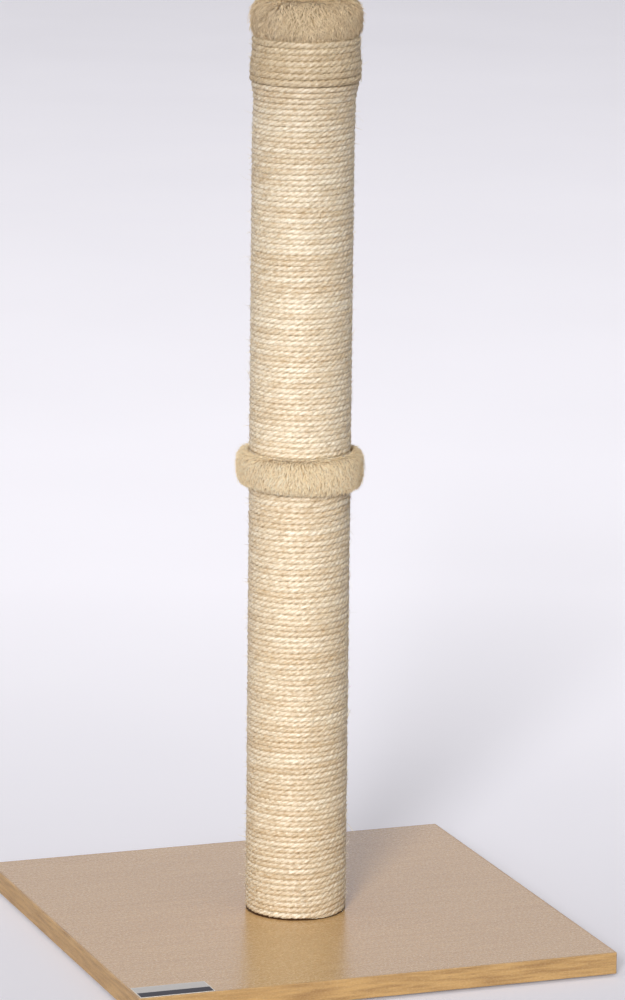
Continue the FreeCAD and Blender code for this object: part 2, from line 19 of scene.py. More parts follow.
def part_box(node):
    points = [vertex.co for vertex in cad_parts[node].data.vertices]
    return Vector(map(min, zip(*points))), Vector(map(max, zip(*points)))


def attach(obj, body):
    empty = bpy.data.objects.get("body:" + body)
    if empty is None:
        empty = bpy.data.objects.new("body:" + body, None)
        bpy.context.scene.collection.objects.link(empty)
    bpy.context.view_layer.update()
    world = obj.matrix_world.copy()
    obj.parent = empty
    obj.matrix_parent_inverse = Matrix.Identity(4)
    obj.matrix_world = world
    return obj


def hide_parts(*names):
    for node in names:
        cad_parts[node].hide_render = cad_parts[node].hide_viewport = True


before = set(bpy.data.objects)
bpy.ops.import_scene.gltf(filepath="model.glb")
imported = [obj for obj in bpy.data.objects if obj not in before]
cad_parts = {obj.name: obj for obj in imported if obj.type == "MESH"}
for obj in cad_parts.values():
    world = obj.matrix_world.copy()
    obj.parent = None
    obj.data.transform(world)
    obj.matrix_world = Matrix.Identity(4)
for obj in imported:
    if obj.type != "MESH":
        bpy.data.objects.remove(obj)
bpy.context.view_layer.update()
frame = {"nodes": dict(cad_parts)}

log = logging.getLogger("scratching_post")

MM = 0.001
TURN = 2 * math.pi
PHOTO_HEIGHT = 1000
BODY = "root"
STRAND_SIDES = 3
STRAND_STATIONS = 4
PUFF_FRAMES = 20

Colour = tuple[float, float, float, float]
Socket = bpy.types.NodeSocket


def srgb(red: int, green: int, blue: int) -> Colour:
    """Turns a colour as it looks on screen into the linear values that shaders use.

    Args:
        red: Red from 0 to 255.
        green: Green from 0 to 255.
        blue: Blue from 0 to 255.

    Returns:
        The linear colour with full opacity.
    """
    linear = [((part / 255 + 0.055) / 1.055) ** 2.4 for part in (red, green, blue)]
    return (*linear, 1.0)


class Lay(Enum):
    """Which way the strands of a rope climb when it is seen running from left to right."""

    RISING = 1
    FALLING = -1


class Grain(Enum):
    """Which way the grain of a board or band runs."""

    ALONG_X = (1.0, 0.0)
    ALONG_Y = (0.0, 1.0)


# ---------------------------------------------------------------- meshes

def eased(share: np.ndarray) -> np.ndarray:
    """Softens both ends of a step from 0 to 1."""
    return share * share * (3 - 2 * share)


def round_post(angle: np.ndarray) -> np.ndarray:
    """Gives the direction round the post at each angle."""
    return np.stack([-np.sin(angle), np.cos(angle), 0 * angle], axis=-1)


def smooth_noise(
    rng: np.random.Generator, places: np.ndarray, spacing: float, amount: float
) -> np.ndarray:
    """Gives smooth random offsets along a line.

    Args:
        rng: Seeded source of random numbers.
        places: Distances along the line.
        spacing: Distance between independent values.
        amount: Largest offset either way.

    Returns:
        One offset for each place.
    """
    where = (places - places.min()) / spacing
    left = np.floor(where).astype(int)
    knots = rng.uniform(-amount, amount, left.max() + 2)
    ease = eased(where - left)
    return knots[left] * (1 - ease) + knots[left + 1] * ease


def unit(vectors: np.ndarray) -> np.ndarray:
    """Scales each row vector to a length of one."""
    return vectors / np.linalg.norm(vectors, axis=-1, keepdims=True)


def make_piece(
    name: str, points: np.ndarray, face_groups: Sequence[np.ndarray]
) -> bpy.types.Object:
    """Makes a smooth-shaded mesh object.

    Args:
        name: Name of the piece.
        points: Corner positions, one row each.
        face_groups: Arrays of faces, each with one row of corner numbers per face.

    Returns:
        The new object, linked to the scene.
    """
    corners = np.concatenate([group.ravel() for group in face_groups])
    counts = np.concatenate([np.full(len(group), group.shape[1]) for group in face_groups])
    mesh = bpy.data.meshes.new(name)
    mesh.vertices.add(len(points))
    mesh.vertices.foreach_set("co", points.astype(np.float32).ravel())
    mesh.loops.add(len(corners))
    mesh.loops.foreach_set("vertex_index", corners.astype(np.int32))
    mesh.polygons.add(len(counts))
    starts = np.concatenate([[0], np.cumsum(counts)[:-1]])
    mesh.polygons.foreach_set("loop_start", starts.astype(np.int32))
    mesh.update(calc_edges=True)
    mesh.validate()
    mesh.shade_smooth()
    piece = bpy.data.objects.new(name, mesh)
    bpy.context.scene.collection.objects.link(piece)
    return piece


def points_of(piece: bpy.types.Object) -> np.ndarray:
    """Reads the place of every point of a mesh object."""
    return np.array([vertex.co for vertex in piece.data.vertices])


def move_points(piece: bpy.types.Object, points: np.ndarray) -> None:
    """Puts every point of a mesh object in a new place."""
    piece.data.vertices.foreach_set("co", points.astype(np.float32).ravel())
    piece.data.update()


def store(piece: bpy.types.Object, name: str, values: np.ndarray) -> None:
    """Keeps one number or one vector for each point of a mesh, for its finish to read.

    Args:
        piece: The mesh object.
        name: Name that the finish reads.
        values: One row for each point, of one or three numbers.
    """
    is_vector = values.ndim == 2
    kind, member = ("FLOAT_VECTOR", "vector") if is_vector else ("FLOAT", "value")
    attribute = piece.data.attributes.new(name, kind, "POINT")
    attribute.data.foreach_set(member, values.astype(np.float32).ravel())


def grid_faces(rows: int, columns: int, closed_rows: bool) -> np.ndarray:
    """Lists the four-sided faces of a grid whose columns close on themselves.

    Args:
        rows: Number of rows of points.
        columns: Number of points in each row.
        closed_rows: Whether the last row also joins the first.

    Returns:
        Corner numbers, four for each face.
    """
    spans = rows if closed_rows else rows - 1
    row, column = np.meshgrid(np.arange(spans), np.arange(columns), indexing="ij")
    row, column = row.ravel(), column.ravel()
    following, beside = (row + 1) % rows, (column + 1) % columns
    return np.stack(
        [
            row * columns + column,
            row * columns + beside,
            following * columns + beside,
            following * columns + column,
        ],
        axis=1,
    )


def arc(
    centre: tuple[float, float], radii: tuple[float, float], start: float, finish: float, count: int
) -> list[tuple[float, float]]:
    """Lists corners along part of an ellipse.

    Args:
        centre: Radius and level of its middle.
        radii: Its half width and half height.
        start: Angle of the first corner in degrees.
        finish: Angle of the last corner in degrees.
        count: Number of corners.

    Returns:
        The corners as radius and level.
    """
    angles = np.radians(np.linspace(start, finish, count))
    return [
        (centre[0] + radii[0] * math.cos(a), centre[1] + radii[1] * math.sin(a)) for a in angles
    ]


def revolved(name: str, section: np.ndarray, columns: int) -> bpy.types.Object:
    """Turns a closed section about the post's axis.

    Args:
        name: Name of the piece.
        section: Radius and level of each corner, going round with the inside on the left.
        columns: Number of steps round the post.

    Returns:
        The closed ring.
    """
    angles = np.arange(columns) * TURN / columns
    radii, levels = section[:, 0], section[:, 1]
    points = np.stack(
        [
            radii[:, None] * np.cos(angles),
            radii[:, None] * np.sin(angles),
            np.repeat(levels[:, None], columns, axis=1),
        ],
        axis=-1,
    ).reshape(-1, 3)
    return make_piece(name, points, [grid_faces(len(section), columns, closed_rows=True)])


def strands(
    name: str, spines: np.ndarray, across: np.ndarray, widths: np.ndarray, flatness: float
) -> bpy.types.Object:
    """Makes many short closed strands with three sides as one mesh.

    Args:
        name: Name of the piece.
        spines: Points along each strand, as strands by stations by three.
        across: Direction of each strand's width.
        widths: Width of each strand at each station.
        flatness: Thickness as a share of the width.

    Returns:
        The strands, with "along" from root to tip and a random "tone" for each.
    """
    count, stations = spines.shape[:2]
    ahead = unit(spines[:, -1] - spines[:, 0])
    lift = unit(np.cross(ahead, across))
    side = np.cross(lift, ahead)
    sides = STRAND_SIDES
    corner_angles = (0.25 + np.arange(sides) / sides) * TURN
    rims = (
        np.cos(corner_angles)[:, None] * side[:, None]
        + flatness * np.sin(corner_angles)[:, None] * lift[:, None]
    )
    points = spines[:, :, None] + widths[:, :, None, None] / 2 * rims[:, None]
    walls = grid_faces(stations, sides, closed_rows=False)
    starts = np.arange(count)[:, None, None] * stations * sides
    root = np.arange(sides)[::-1][None]
    tip = np.arange(sides)[None] + (stations - 1) * sides
    groups = [
        (walls[None] + starts).reshape(-1, 4),
        (np.concatenate([root, tip])[None] + starts).reshape(-1, sides),
    ]
    piece = make_piece(name, points.reshape(-1, 3), groups)
    along = np.tile(np.repeat(np.linspace(0, 1, stations), sides), count)
    tones = np.random.default_rng(count).uniform(0, 1, count)
    store(piece, "along", along)
    store(piece, "tone", np.repeat(tones, stations * sides))
    return piece


def count_strands(*piles: bpy.types.Object) -> int:
    """Counts the strands of some piles by their points."""
    return sum(len(pile.data.vertices) for pile in piles) // (STRAND_SIDES * STRAND_STATIONS)


def settle(piece: bpy.types.Object, slot: str, *nodes: str) -> None:
    """Fixes a finished piece to the post.

    Args:
        piece: The piece, in place.
        slot: Material slot of the record that it takes its finish from; not used.
        nodes: Construction nodes that it stands for.
    """
    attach(piece, BODY)
    if nodes:
        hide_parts(*nodes)


# ---------------------------------------------------------------- finishes

class Recipe:
    """One node material under construction."""

    def __init__(self, name: str) -> None:
        """Starts from a plain principled shader.

        Args:
            name: Name of the material.
        """
        self.material = bpy.data.materials.new(name)
        self.material.use_nodes = True
        self.tree = self.material.node_tree
        self.shader = self.tree.nodes["Principled BSDF"]

    def feed(self, socket: Socket, value: object) -> None:
        """Links a socket to another one, or sets its own value.

        Args:
            socket: The socket to feed.
            value: Another socket, or a plain value.
        """
        if isinstance(value, bpy.types.NodeSocket):
            self.tree.links.new(value, socket)
        else:
            socket.default_value = value

    def position(self) -> Socket:
        """Gives the place of a point on the post, in metres."""
        return self.tree.nodes.new("ShaderNodeTexCoord").outputs["Object"]

    def stored(self, name: str, is_vector: bool = False) -> Socket:
        """Reads what a mesh keeps for each of its points.

        Args:
            name: Name that it was stored under.
            is_vector: Whether it is a vector and not a number.

        Returns:
            The socket with the stored value.
        """
        node = self.tree.nodes.new("ShaderNodeAttribute")
        node.attribute_name = name
        return node.outputs["Vector" if is_vector else "Fac"]

    def scaled(self, vector: Socket, factors: tuple[float, float, float]) -> Socket:
        """Multiplies a vector's parts, so that a pattern stretches along one of them.

        Args:
            vector: The vector to scale.
            factors: One factor for each part.

        Returns:
            The scaled vector.
        """
        node = self.tree.nodes.new("ShaderNodeVectorMath")
        node.operation = "MULTIPLY"
        self.feed(node.inputs[0], vector)
        self.feed(node.inputs[1], factors)
        return node.outputs["Vector"]

    def noise(self, vector: Socket, scale: float = 1.0, detail: float = 3.0) -> Socket:
        """Adds a cloudy pattern from 0 to 1.

        Args:
            vector: Where the pattern is read.
            scale: Clouds in each unit of the vector.
            detail: Number of finer layers.

        Returns:
            The pattern's value.
        """
        node = self.tree.nodes.new("ShaderNodeTexNoise")
        self.feed(node.inputs["Vector"], vector)
        self.feed(node.inputs["Scale"], scale)
        self.feed(node.inputs["Detail"], detail)
        return node.outputs[0]

    def cells(self, vector: Socket, scale: float) -> Socket:
        """Adds a pattern of cells and gives each cell's own random value.

        Args:
            vector: Where the pattern is read.
            scale: Cells in each unit of the vector.

        Returns:
            A value from 0 to 1 that is the same all over one cell.
        """
        node = self.tree.nodes.new("ShaderNodeTexVoronoi")
        self.feed(node.inputs["Vector"], vector)
        self.feed(node.inputs["Scale"], scale)
        return self.part(node.outputs["Color"], 0)

    def part(self, vector: Socket, index: int) -> Socket:
        """Takes one part out of a vector.

        Args:
            vector: The vector to split.
            index: Number of the part, from 0 to 2.

        Returns:
            The socket with that part.
        """
        node = self.tree.nodes.new("ShaderNodeSeparateXYZ")
        self.feed(node.inputs[0], vector)
        return node.outputs[index]

    def calculate(self, operation: str, *values: object) -> Socket:
        """Works out one step of arithmetic.

        Args:
            operation: Name of the operation.
            values: Numbers or sockets.

        Returns:
            The result.
        """
        node = self.tree.nodes.new("ShaderNodeMath")
        node.operation = operation
        for socket, value in zip(node.inputs, values):
            self.feed(socket, value)
        return node.outputs[0]

    def rescaled(
        self, value: Socket, low: float, high: float, to_low: float = 0.0, to_high: float = 1.0
    ) -> Socket:
        """Maps one range of a value to another and stops at its ends.

        Args:
            value: The value to map.
            low: Where the range starts.
            high: Where the range ends.
            to_low: What its start becomes.
            to_high: What its end becomes.

        Returns:
            The mapped value.
        """
        node = self.tree.nodes.new("ShaderNodeMapRange")
        for socket, number in zip(node.inputs, (value, low, high, to_low, to_high)):
            self.feed(socket, number)
        return node.outputs[0]

    def mixed(self, share: object, first: object, second: object) -> Socket:
        """Mixes two colours.

        Args:
            share: How much of the second colour shows, from 0 to 1.
            first: Colour at 0.
            second: Colour at 1.

        Returns:
            The mixed colour.
        """
        node = self.tree.nodes.new("ShaderNodeMix")
        node.data_type = "RGBA"
        colours = [socket for socket in node.inputs if socket.type == "RGBA"]
        self.feed(node.inputs[0], share)
        self.feed(colours[0], first)
        self.feed(colours[1], second)
        return next(socket for socket in node.outputs if socket.type == "RGBA")

    def relief(self, height: Socket, depth: float) -> None:
        """Gives the surface a fine relief.

        Args:
            height: Height pattern from 0 to 1.
            depth: Depth of the relief in metres.
        """
        node = self.tree.nodes.new("ShaderNodeBump")
        self.feed(node.inputs["Height"], height)
        self.feed(node.inputs["Distance"], depth)
        self.feed(self.shader.inputs["Normal"], node.outputs["Normal"])

    def set(self, **values: object) -> None:
        """Sets or links sockets of the shader, named with _ for each space."""
        for name, value in values.items():
            self.feed(self.shader.inputs[name.replace("_", " ")], value)


@dataclass(frozen=True)
class Finish(ABC):
    """A surface finish that can be put on any number of pieces."""

    name: str

    @abstractmethod
    def mix(self, recipe: Recipe) -> None:
        """Puts this finish's colour, gloss and relief into a material.

        Args:
            recipe: The material under construction.
        """

    def dress(self, *pieces: bpy.types.Object) -> None:
        """Puts this finish on pieces in place of what they had.

        Args:
            pieces: Mesh objects.
        """
        recipe = Recipe(self.name)
        self.mix(recipe)
        for piece in pieces:
            if piece.data.materials:
                piece.data.materials[0] = recipe.material
            else:
                piece.data.materials.append(recipe.material)


@dataclass(frozen=True)
class BeechFinish(Finish):
    """Beech decor: short dark flecks and pale speckle along a fine grain."""

    grain: Grain = Grain.ALONG_X
    ground: Colour = srgb(198, 159, 105)
    streak: Colour = srgb(186, 145, 90)
    fleck: Colour = srgb(158, 118, 70)
    speckle: Colour = srgb(232, 206, 164)
    speckle_share: float = 0.6
    fleck_share: float = 0.45
    streak_density: float = 9.0
    fleck_density: float = 120.0
    speckle_density: tuple[float, float, float] = (420.0, 420.0, 800.0)
    grain_stretch: float = 14.0
    streak_range: tuple[float, float] = (0.38, 0.7)
    streak_share: float = 0.7
    fleck_range: tuple[float, float] = (0.62, 0.76)
    speckle_range: tuple[float, float] = (0.48, 0.66)
    gloss_roughness: float = 0.24
    gloss_spread: tuple[float, float] = (-0.04, 0.08)
    coating_ior: float = 1.65
    relief_depth: float = 0.03 * MM

    def mix(self, recipe: Recipe) -> None:
        """Lays streaks, flecks and speckle over the ground colour.

        Args:
            recipe: The material under construction.
        """
        place = recipe.position()
        along_x, along_y = self.grain.value

        def stretched(density: float) -> Socket:
            """Stretches a pattern along the grain.

            Args:
                density: Marks in each metre along the grain.

            Returns:
                The place to read the pattern at.
            """
            across = density * self.grain_stretch
            return recipe.scaled(
                place,
                (
                    density * along_x + across * along_y,
                    density * along_y + across * along_x,
                    across,
                ),
            )

        streaks = recipe.noise(stretched(self.streak_density), detail=5.0)
        flecks = recipe.noise(stretched(self.fleck_density), detail=1.0)
        speckles = recipe.noise(recipe.scaled(place, self.speckle_density), detail=2.0)
        streaking = recipe.rescaled(streaks, *self.streak_range, 0.0, self.streak_share)
        colour = recipe.mixed(streaking, self.ground, self.streak)
        flecking = recipe.rescaled(flecks, *self.fleck_range, 0.0, self.fleck_share)
        colour = recipe.mixed(flecking, colour, self.fleck)
        dusting = recipe.rescaled(speckles, *self.speckle_range, 0.0, self.speckle_share)
        colour = recipe.mixed(dusting, colour, self.speckle)
        glossy, dull = (self.gloss_roughness + change for change in self.gloss_spread)
        gloss = recipe.rescaled(flecks, 0.2, 0.8, glossy, dull)
        recipe.set(Base_Color=colour, Roughness=gloss, IOR=self.coating_ior)
        recipe.relief(flecks, self.relief_depth)


@dataclass(frozen=True)
class ChipboardFinish(Finish):
    """Raw chipboard: pressed flakes of several browns."""

    pale: Colour = srgb(206, 176, 128)
    dark: Colour = srgb(148, 112, 70)
    flake_density: tuple[float, float, float] = (260.0, 420.0, 900.0)
    chip_density: float = 1400.0
    relief_depth: float = 0.3 * MM

    def mix(self, recipe: Recipe) -> None:
        """Colours each flake by itself and dusts it with finer chips.

        Args:
            recipe: The material under construction.
        """
        place = recipe.position()
        flakes = recipe.cells(recipe.scaled(place, self.flake_density), scale=1.0)
        chips = recipe.noise(place, scale=self.chip_density)
        share = recipe.calculate("MULTIPLY", flakes, chips)
        colour = recipe.mixed(recipe.rescaled(share, 0.1, 0.5), self.pale, self.dark)
        recipe.set(Base_Color=colour, Roughness=0.85)
        recipe.relief(chips, self.relief_depth)


@dataclass(frozen=True)
class FeltFinish(Finish):
    """Pressed brown felt with pale hairs."""

    ground: Colour = srgb(92, 76, 62)
    hair: Colour = srgb(142, 122, 102)
    lengthwise: tuple[float, float, float] = (500.0, 3500.0, 2500.0)
    crosswise: tuple[float, float, float] = (3500.0, 600.0, 2500.0)
    relief_depth: float = 0.4 * MM

    def mix(self, recipe: Recipe) -> None:
        """Crosses two layers of stretched noise as matted hair.

        Args:
            recipe: The material under construction.
        """
        place = recipe.position()
        one_way = recipe.noise(recipe.scaled(place, self.lengthwise))
        other_way = recipe.noise(recipe.scaled(place, self.crosswise))
        hairs = recipe.calculate("MAXIMUM", one_way, other_way)
        recipe.set(
            Base_Color=recipe.mixed(recipe.rescaled(hairs, 0.5, 0.75), self.ground, self.hair),
            Roughness=0.95,
            Specular_IOR_Level=0.1,
            Sheen_Weight=0.05,
        )
        recipe.relief(hairs, self.relief_depth)


@dataclass(frozen=True)
class LabelFinish(Finish):
    """Blank foil sticker: silver at the rear, dark in front, with a pale border."""

    left: float
    right: float
    front: float
    rear: float
    border: float = 0.9 * MM
    dark_share: float = 0.45
    silver: Colour = srgb(192, 188, 184)
    dark: Colour = srgb(38, 33, 33)
    edge: Colour = srgb(222, 217, 210)
    brush_density: tuple[float, float, float] = (90.0, 3000.0, 1.0)
    brush_share: float = 0.4
    roughness: tuple[float, float] = (0.34, 0.46)

    def mix(self, recipe: Recipe) -> None:
        """Divides the sticker by distance from its edges.

        Args:
            recipe: The material under construction.
        """
        place = recipe.position()
        across, deep = recipe.part(place, 0), recipe.part(place, 1)
        split = self.front + (self.rear - self.front) * self.dark_share
        brushed = recipe.noise(recipe.scaled(place, self.brush_density))
        brushing = recipe.rescaled(brushed, 0.3, 0.7, 0.0, self.brush_share)
        silver = recipe.mixed(brushing, self.silver, self.edge)
        is_rear = recipe.calculate("GREATER_THAN", deep, split)
        colour = recipe.mixed(is_rear, self.dark, silver)
        margins = [
            recipe.calculate("SUBTRACT", across, self.left),
            recipe.calculate("SUBTRACT", self.right, across),
            recipe.calculate("SUBTRACT", deep, self.front),
            recipe.calculate("SUBTRACT", self.rear, deep),
        ]
        nearest = margins[0]
        for margin in margins[1:]:
            nearest = recipe.calculate("MINIMUM", nearest, margin)
        is_border = recipe.calculate("LESS_THAN", nearest, self.border)
        recipe.set(
            Base_Color=recipe.mixed(is_border, colour, self.edge),
            Roughness=recipe.rescaled(brushed, 0.2, 0.8, *self.roughness),
            Specular_IOR_Level=0.15,
        )


@dataclass(frozen=True)
class ZincFinish(Finish):
    """Zinc-plated steel, lightly spangled."""

    bright: Colour = srgb(205, 208, 212)
    dull: Colour = srgb(160, 164, 170)
    spangle_density: float = 900.0
    scuff_density: float = 700.0
    roughness: tuple[float, float] = (0.28, 0.48)
    relief_depth: float = 0.02 * MM

    def mix(self, recipe: Recipe) -> None:
        """Varies brightness and gloss from spangle to spangle.

        Args:
            recipe: The material under construction.
        """
        place = recipe.position()
        spangles = recipe.cells(place, scale=self.spangle_density)
        scuffs = recipe.noise(place, scale=self.scuff_density)
        recipe.set(
            Base_Color=recipe.mixed(spangles, self.bright, self.dull),
            Metallic=1.0,
            Roughness=recipe.rescaled(scuffs, 0.3, 0.7, *self.roughness),
        )
        recipe.relief(scuffs, self.relief_depth)


@dataclass(frozen=True)
class CardFinish(Finish):
    """Brown cardboard tube with the seams of its wound plies."""

    kraft: Colour = srgb(176, 142, 102)
    seam: Colour = srgb(120, 90, 60)
    ply_width: float = 90 * MM
    seam_share: float = 0.02
    pulp_density: float = 500.0
    relief_depth: float = 0.1 * MM

    def mix(self, recipe: Recipe) -> None:
        """Draws a slanting seam for each turn of the ply over mottled kraft.

        Args:
            recipe: The material under construction.
        """
        place = recipe.position()
        angle = recipe.calculate("ARCTAN2", recipe.part(place, 1), recipe.part(place, 0))
        turns = recipe.calculate("DIVIDE", angle, TURN)
        climb = recipe.calculate("DIVIDE", recipe.part(place, 2), self.ply_width)
        phase = recipe.calculate("FRACT", recipe.calculate("ADD", turns, climb))
        is_seam = recipe.rescaled(phase, 0.0, self.seam_share, 1.0, 0.0)
        pulp = recipe.noise(place, scale=self.pulp_density, detail=5.0)
        colour = recipe.mixed(recipe.rescaled(pulp, 0.4, 0.9, 0.0, 0.5), self.kraft, self.seam)
        recipe.set(Base_Color=recipe.mixed(is_seam, colour, self.seam), Roughness=0.8)
        recipe.relief(pulp, self.relief_depth)


@dataclass(frozen=True)
class PlugWoodFinish(Finish):
    """Sawn softwood with growth rings about a heart beside the plug."""

    early: Colour = srgb(214, 182, 132)
    late: Colour = srgb(176, 134, 84)
    ring_spacing: float = 2.6 * MM
    heart: tuple[float, float] = (70 * MM, 20 * MM)
    ring_bend: float = 4 * MM
    relief_depth: float = 0.1 * MM

    def mix(self, recipe: Recipe) -> None:
        """Draws rings by distance from the heart, bent by noise.

        Args:
            recipe: The material under construction.
        """
        place = recipe.position()
        east = recipe.calculate("SUBTRACT", recipe.part(place, 0), self.heart[0])
        north = recipe.calculate("SUBTRACT", recipe.part(place, 1), self.heart[1])
        squares = recipe.calculate(
            "ADD", recipe.calculate("POWER", east, 2.0), recipe.calculate("POWER", north, 2.0)
        )
        bend = recipe.rescaled(recipe.noise(place, scale=40.0), 0.0, 1.0, 0.0, self.ring_bend)
        distance = recipe.calculate("ADD", recipe.calculate("SQRT", squares), bend)
        ring = recipe.calculate("FRACT", recipe.calculate("DIVIDE", distance, self.ring_spacing))
        recipe.set(Base_Color=recipe.mixed(ring, self.early, self.late), Roughness=0.75)
        recipe.relief(recipe.noise(place, scale=1500.0), self.relief_depth)


@dataclass(frozen=True)
class SisalFinish(Finish):
    """Straw-coloured sisal: yarns that run along the rope, with painted shade in the grooves between
    strands.
    """

    crown: Colour = srgb(246, 236, 214)
    body: Colour = srgb(197, 168, 125)
    # painted shade: the darker colour laid into the grooves between strands
    groove_shade: Colour = srgb(168, 130, 82)
    fibre_length: float = 8 * MM
    fibre_width: float = 0.45 * MM
    bundle_length: float = 6 * MM
    bundle_width: float = 1.0 * MM
    contrast_range: tuple[float, float] = (0.34, 0.66)
    fibre_share: float = 0.6
    bundle_share: float = 0.5
    groove_shade_share: float = 0.5
    roughness: tuple[float, float] = (0.3, 0.46)
    relief_depth: float = 0.35 * MM

    def mix(self, recipe: Recipe) -> None:
        """Streaks the rope along its fibres and bundles, and paints shade into the grooves between
        strands.

        Args:
            recipe: The material under construction.
        """
        streaks = recipe.noise(self.drawn_out(recipe, self.fibre_length, self.fibre_width), detail=4.0)
        bundles = recipe.noise(
            self.drawn_out(recipe, self.bundle_length, self.bundle_width), detail=1.0
        )
        share = recipe.calculate(
            "ADD",
            recipe.rescaled(streaks, *self.contrast_range, 0.0, self.fibre_share),
            recipe.rescaled(bundles, *self.contrast_range, 0.0, self.bundle_share),
        )
        share = recipe.calculate("ADD", share, recipe.stored("tone"))
        colour = recipe.mixed(recipe.rescaled(share, 0.2, 1.4), self.body, self.crown)
        # painted shade: mixes toward the groove colour where the section dips between strands
        depth = recipe.rescaled(recipe.stored("crest"), 0.0, 0.5, self.groove_shade_share, 0.0)
        recipe.set(
            Base_Color=recipe.mixed(depth, colour, self.groove_shade),
            Roughness=recipe.rescaled(bundles, 0.3, 0.7, *self.roughness),
            Specular_IOR_Level=0.85,
            IOR=1.55,
        )
        recipe.relief(recipe.calculate("ADD", streaks, bundles), self.relief_depth)

    @staticmethod
    def drawn_out(recipe: Recipe, length: float, width: float) -> Socket:
        """Draws a pattern out along the rope.

        Args:
            recipe: The material under construction.
            length: Length of one mark, along the rope.
            width: Its width across the rope.

        Returns:
            The place to read the pattern at.
        """
        place = recipe.stored("fibre", is_vector=True)
        return recipe.scaled(place, (1 / length, 1 / width, 1 / width))


@dataclass(frozen=True)
class HairFinish(Finish):
    """Strands graded from painted shade at the root to a paler tip."""

    root: Colour
    tip: Colour
    odd: Colour
    sheen: float = 0.15
    odd_share: float = 0.7
    fine_density: float = 2500.0
    fine_share: float = 0.4
    roughness: tuple[float, float] = (0.6, 0.8)

    def mix(self, recipe: Recipe) -> None:
        """Grades each strand from painted shade at the root to the paler tip and tints some of them.

        Args:
            recipe: The material under construction.
        """
        along, tone = recipe.stored("along"), recipe.stored("tone")
        # painted shade: each strand darkens toward its root, down among the other strands
        colour = recipe.mixed(recipe.rescaled(along, 0.0, 0.55), self.root, self.tip)
        tint = recipe.rescaled(tone, 0.45, 1.0, 0.0, self.odd_share)
        colour = recipe.mixed(tint, colour, self.odd)
        fine = recipe.noise(recipe.position(), scale=self.fine_density)
        mottling = recipe.rescaled(fine, 0.5, 0.9, 0.0, self.fine_share)
        recipe.set(
            Base_Color=recipe.mixed(mottling, colour, self.root),
            Roughness=recipe.rescaled(fine, 0.2, 0.8, *self.roughness),
            Sheen_Weight=self.sheen,
            Sheen_Roughness=0.5,
        )


@dataclass(frozen=True)
class BackingFinish(Finish):
    """Knitted backing that shows between the tufts of the plush, mottled with painted shade for the
    gaps between tufts.
    """

    ground: Colour = srgb(212, 184, 140)
    # painted shade: the darker colour stands for the gaps between tufts
    gap_shade: Colour = srgb(172, 142, 100)
    tuft_density: tuple[float, float, float] = (900.0, 900.0, 320.0)
    relief_depth: float = 0.8 * MM

    def mix(self, recipe: Recipe) -> None:
        """Mottles the backing at the size of the tufts, with a darker painted shade for the gaps
        between them.

        Args:
            recipe: The material under construction.
        """
        place = recipe.position()
        tufts = recipe.noise(recipe.scaled(place, self.tuft_density))
        # painted shade: the darker mottle stands for the shaded gaps between tufts
        recipe.set(
            Base_Color=recipe.mixed(recipe.rescaled(tufts, 0.35, 0.65), self.gap_shade, self.ground),
            Roughness=0.9,
            Sheen_Weight=0.3,
        )
        recipe.relief(tufts, self.relief_depth)


@dataclass(frozen=True)
class FloorFinish(Finish):
    """Pale studio floor that brightens in a wide band behind the post, as the camera sees it."""

    paper: Colour = srgb(219, 217, 224)
    mottling: Colour = srgb(213, 211, 218)
    glow_colour: Colour = srgb(252, 249, 255)
    band_centre: tuple[float, float, float] = (-1.9, -5.22, 0.0)
    band_start: float = 5.1
    band_crest: tuple[float, float] = (7.1, 7.9)
    band_end: float = 14.0
    glow: tuple[float, float] = (0.12, 0.4)

    def mix(self, recipe: Recipe) -> None:
        """Adds the band of light, which only camera rays see.

        Args:
            recipe: The material under construction.
        """
        place = recipe.position()
        distance = recipe.tree.nodes.new("ShaderNodeVectorMath")
        distance.operation = "DISTANCE"
        recipe.feed(distance.inputs[0], place)
        recipe.feed(distance.inputs[1], self.band_centre)
        away = distance.outputs["Value"]
        low, high = self.glow
        nearer = recipe.rescaled(away, self.band_start, self.band_crest[0], low, high)
        further = recipe.rescaled(away, self.band_crest[1], self.band_end, high, low)
        band = recipe.calculate("MINIMUM", nearer, further)
        path = recipe.tree.nodes.new("ShaderNodeLightPath")
        seen = recipe.calculate("MULTIPLY", band, path.outputs["Is Camera Ray"])
        mottle = recipe.rescaled(recipe.noise(place, scale=2.0), 0.3, 0.7, 0.0, 0.5)
        recipe.set(
            Base_Color=recipe.mixed(mottle, self.paper, self.mottling),
            Roughness=0.95,
            Specular_IOR_Level=0.0,
            Emission_Color=self.glow_colour,
            Emission_Strength=seen,
        )


# ---------------------------------------------------------------- studio

@dataclass(frozen=True)
class Sun:
    """A distant soft lamp: its direction and width in degrees, and its strength."""

    azimuth: float
    elevation: float
    strength: float
    spread: float


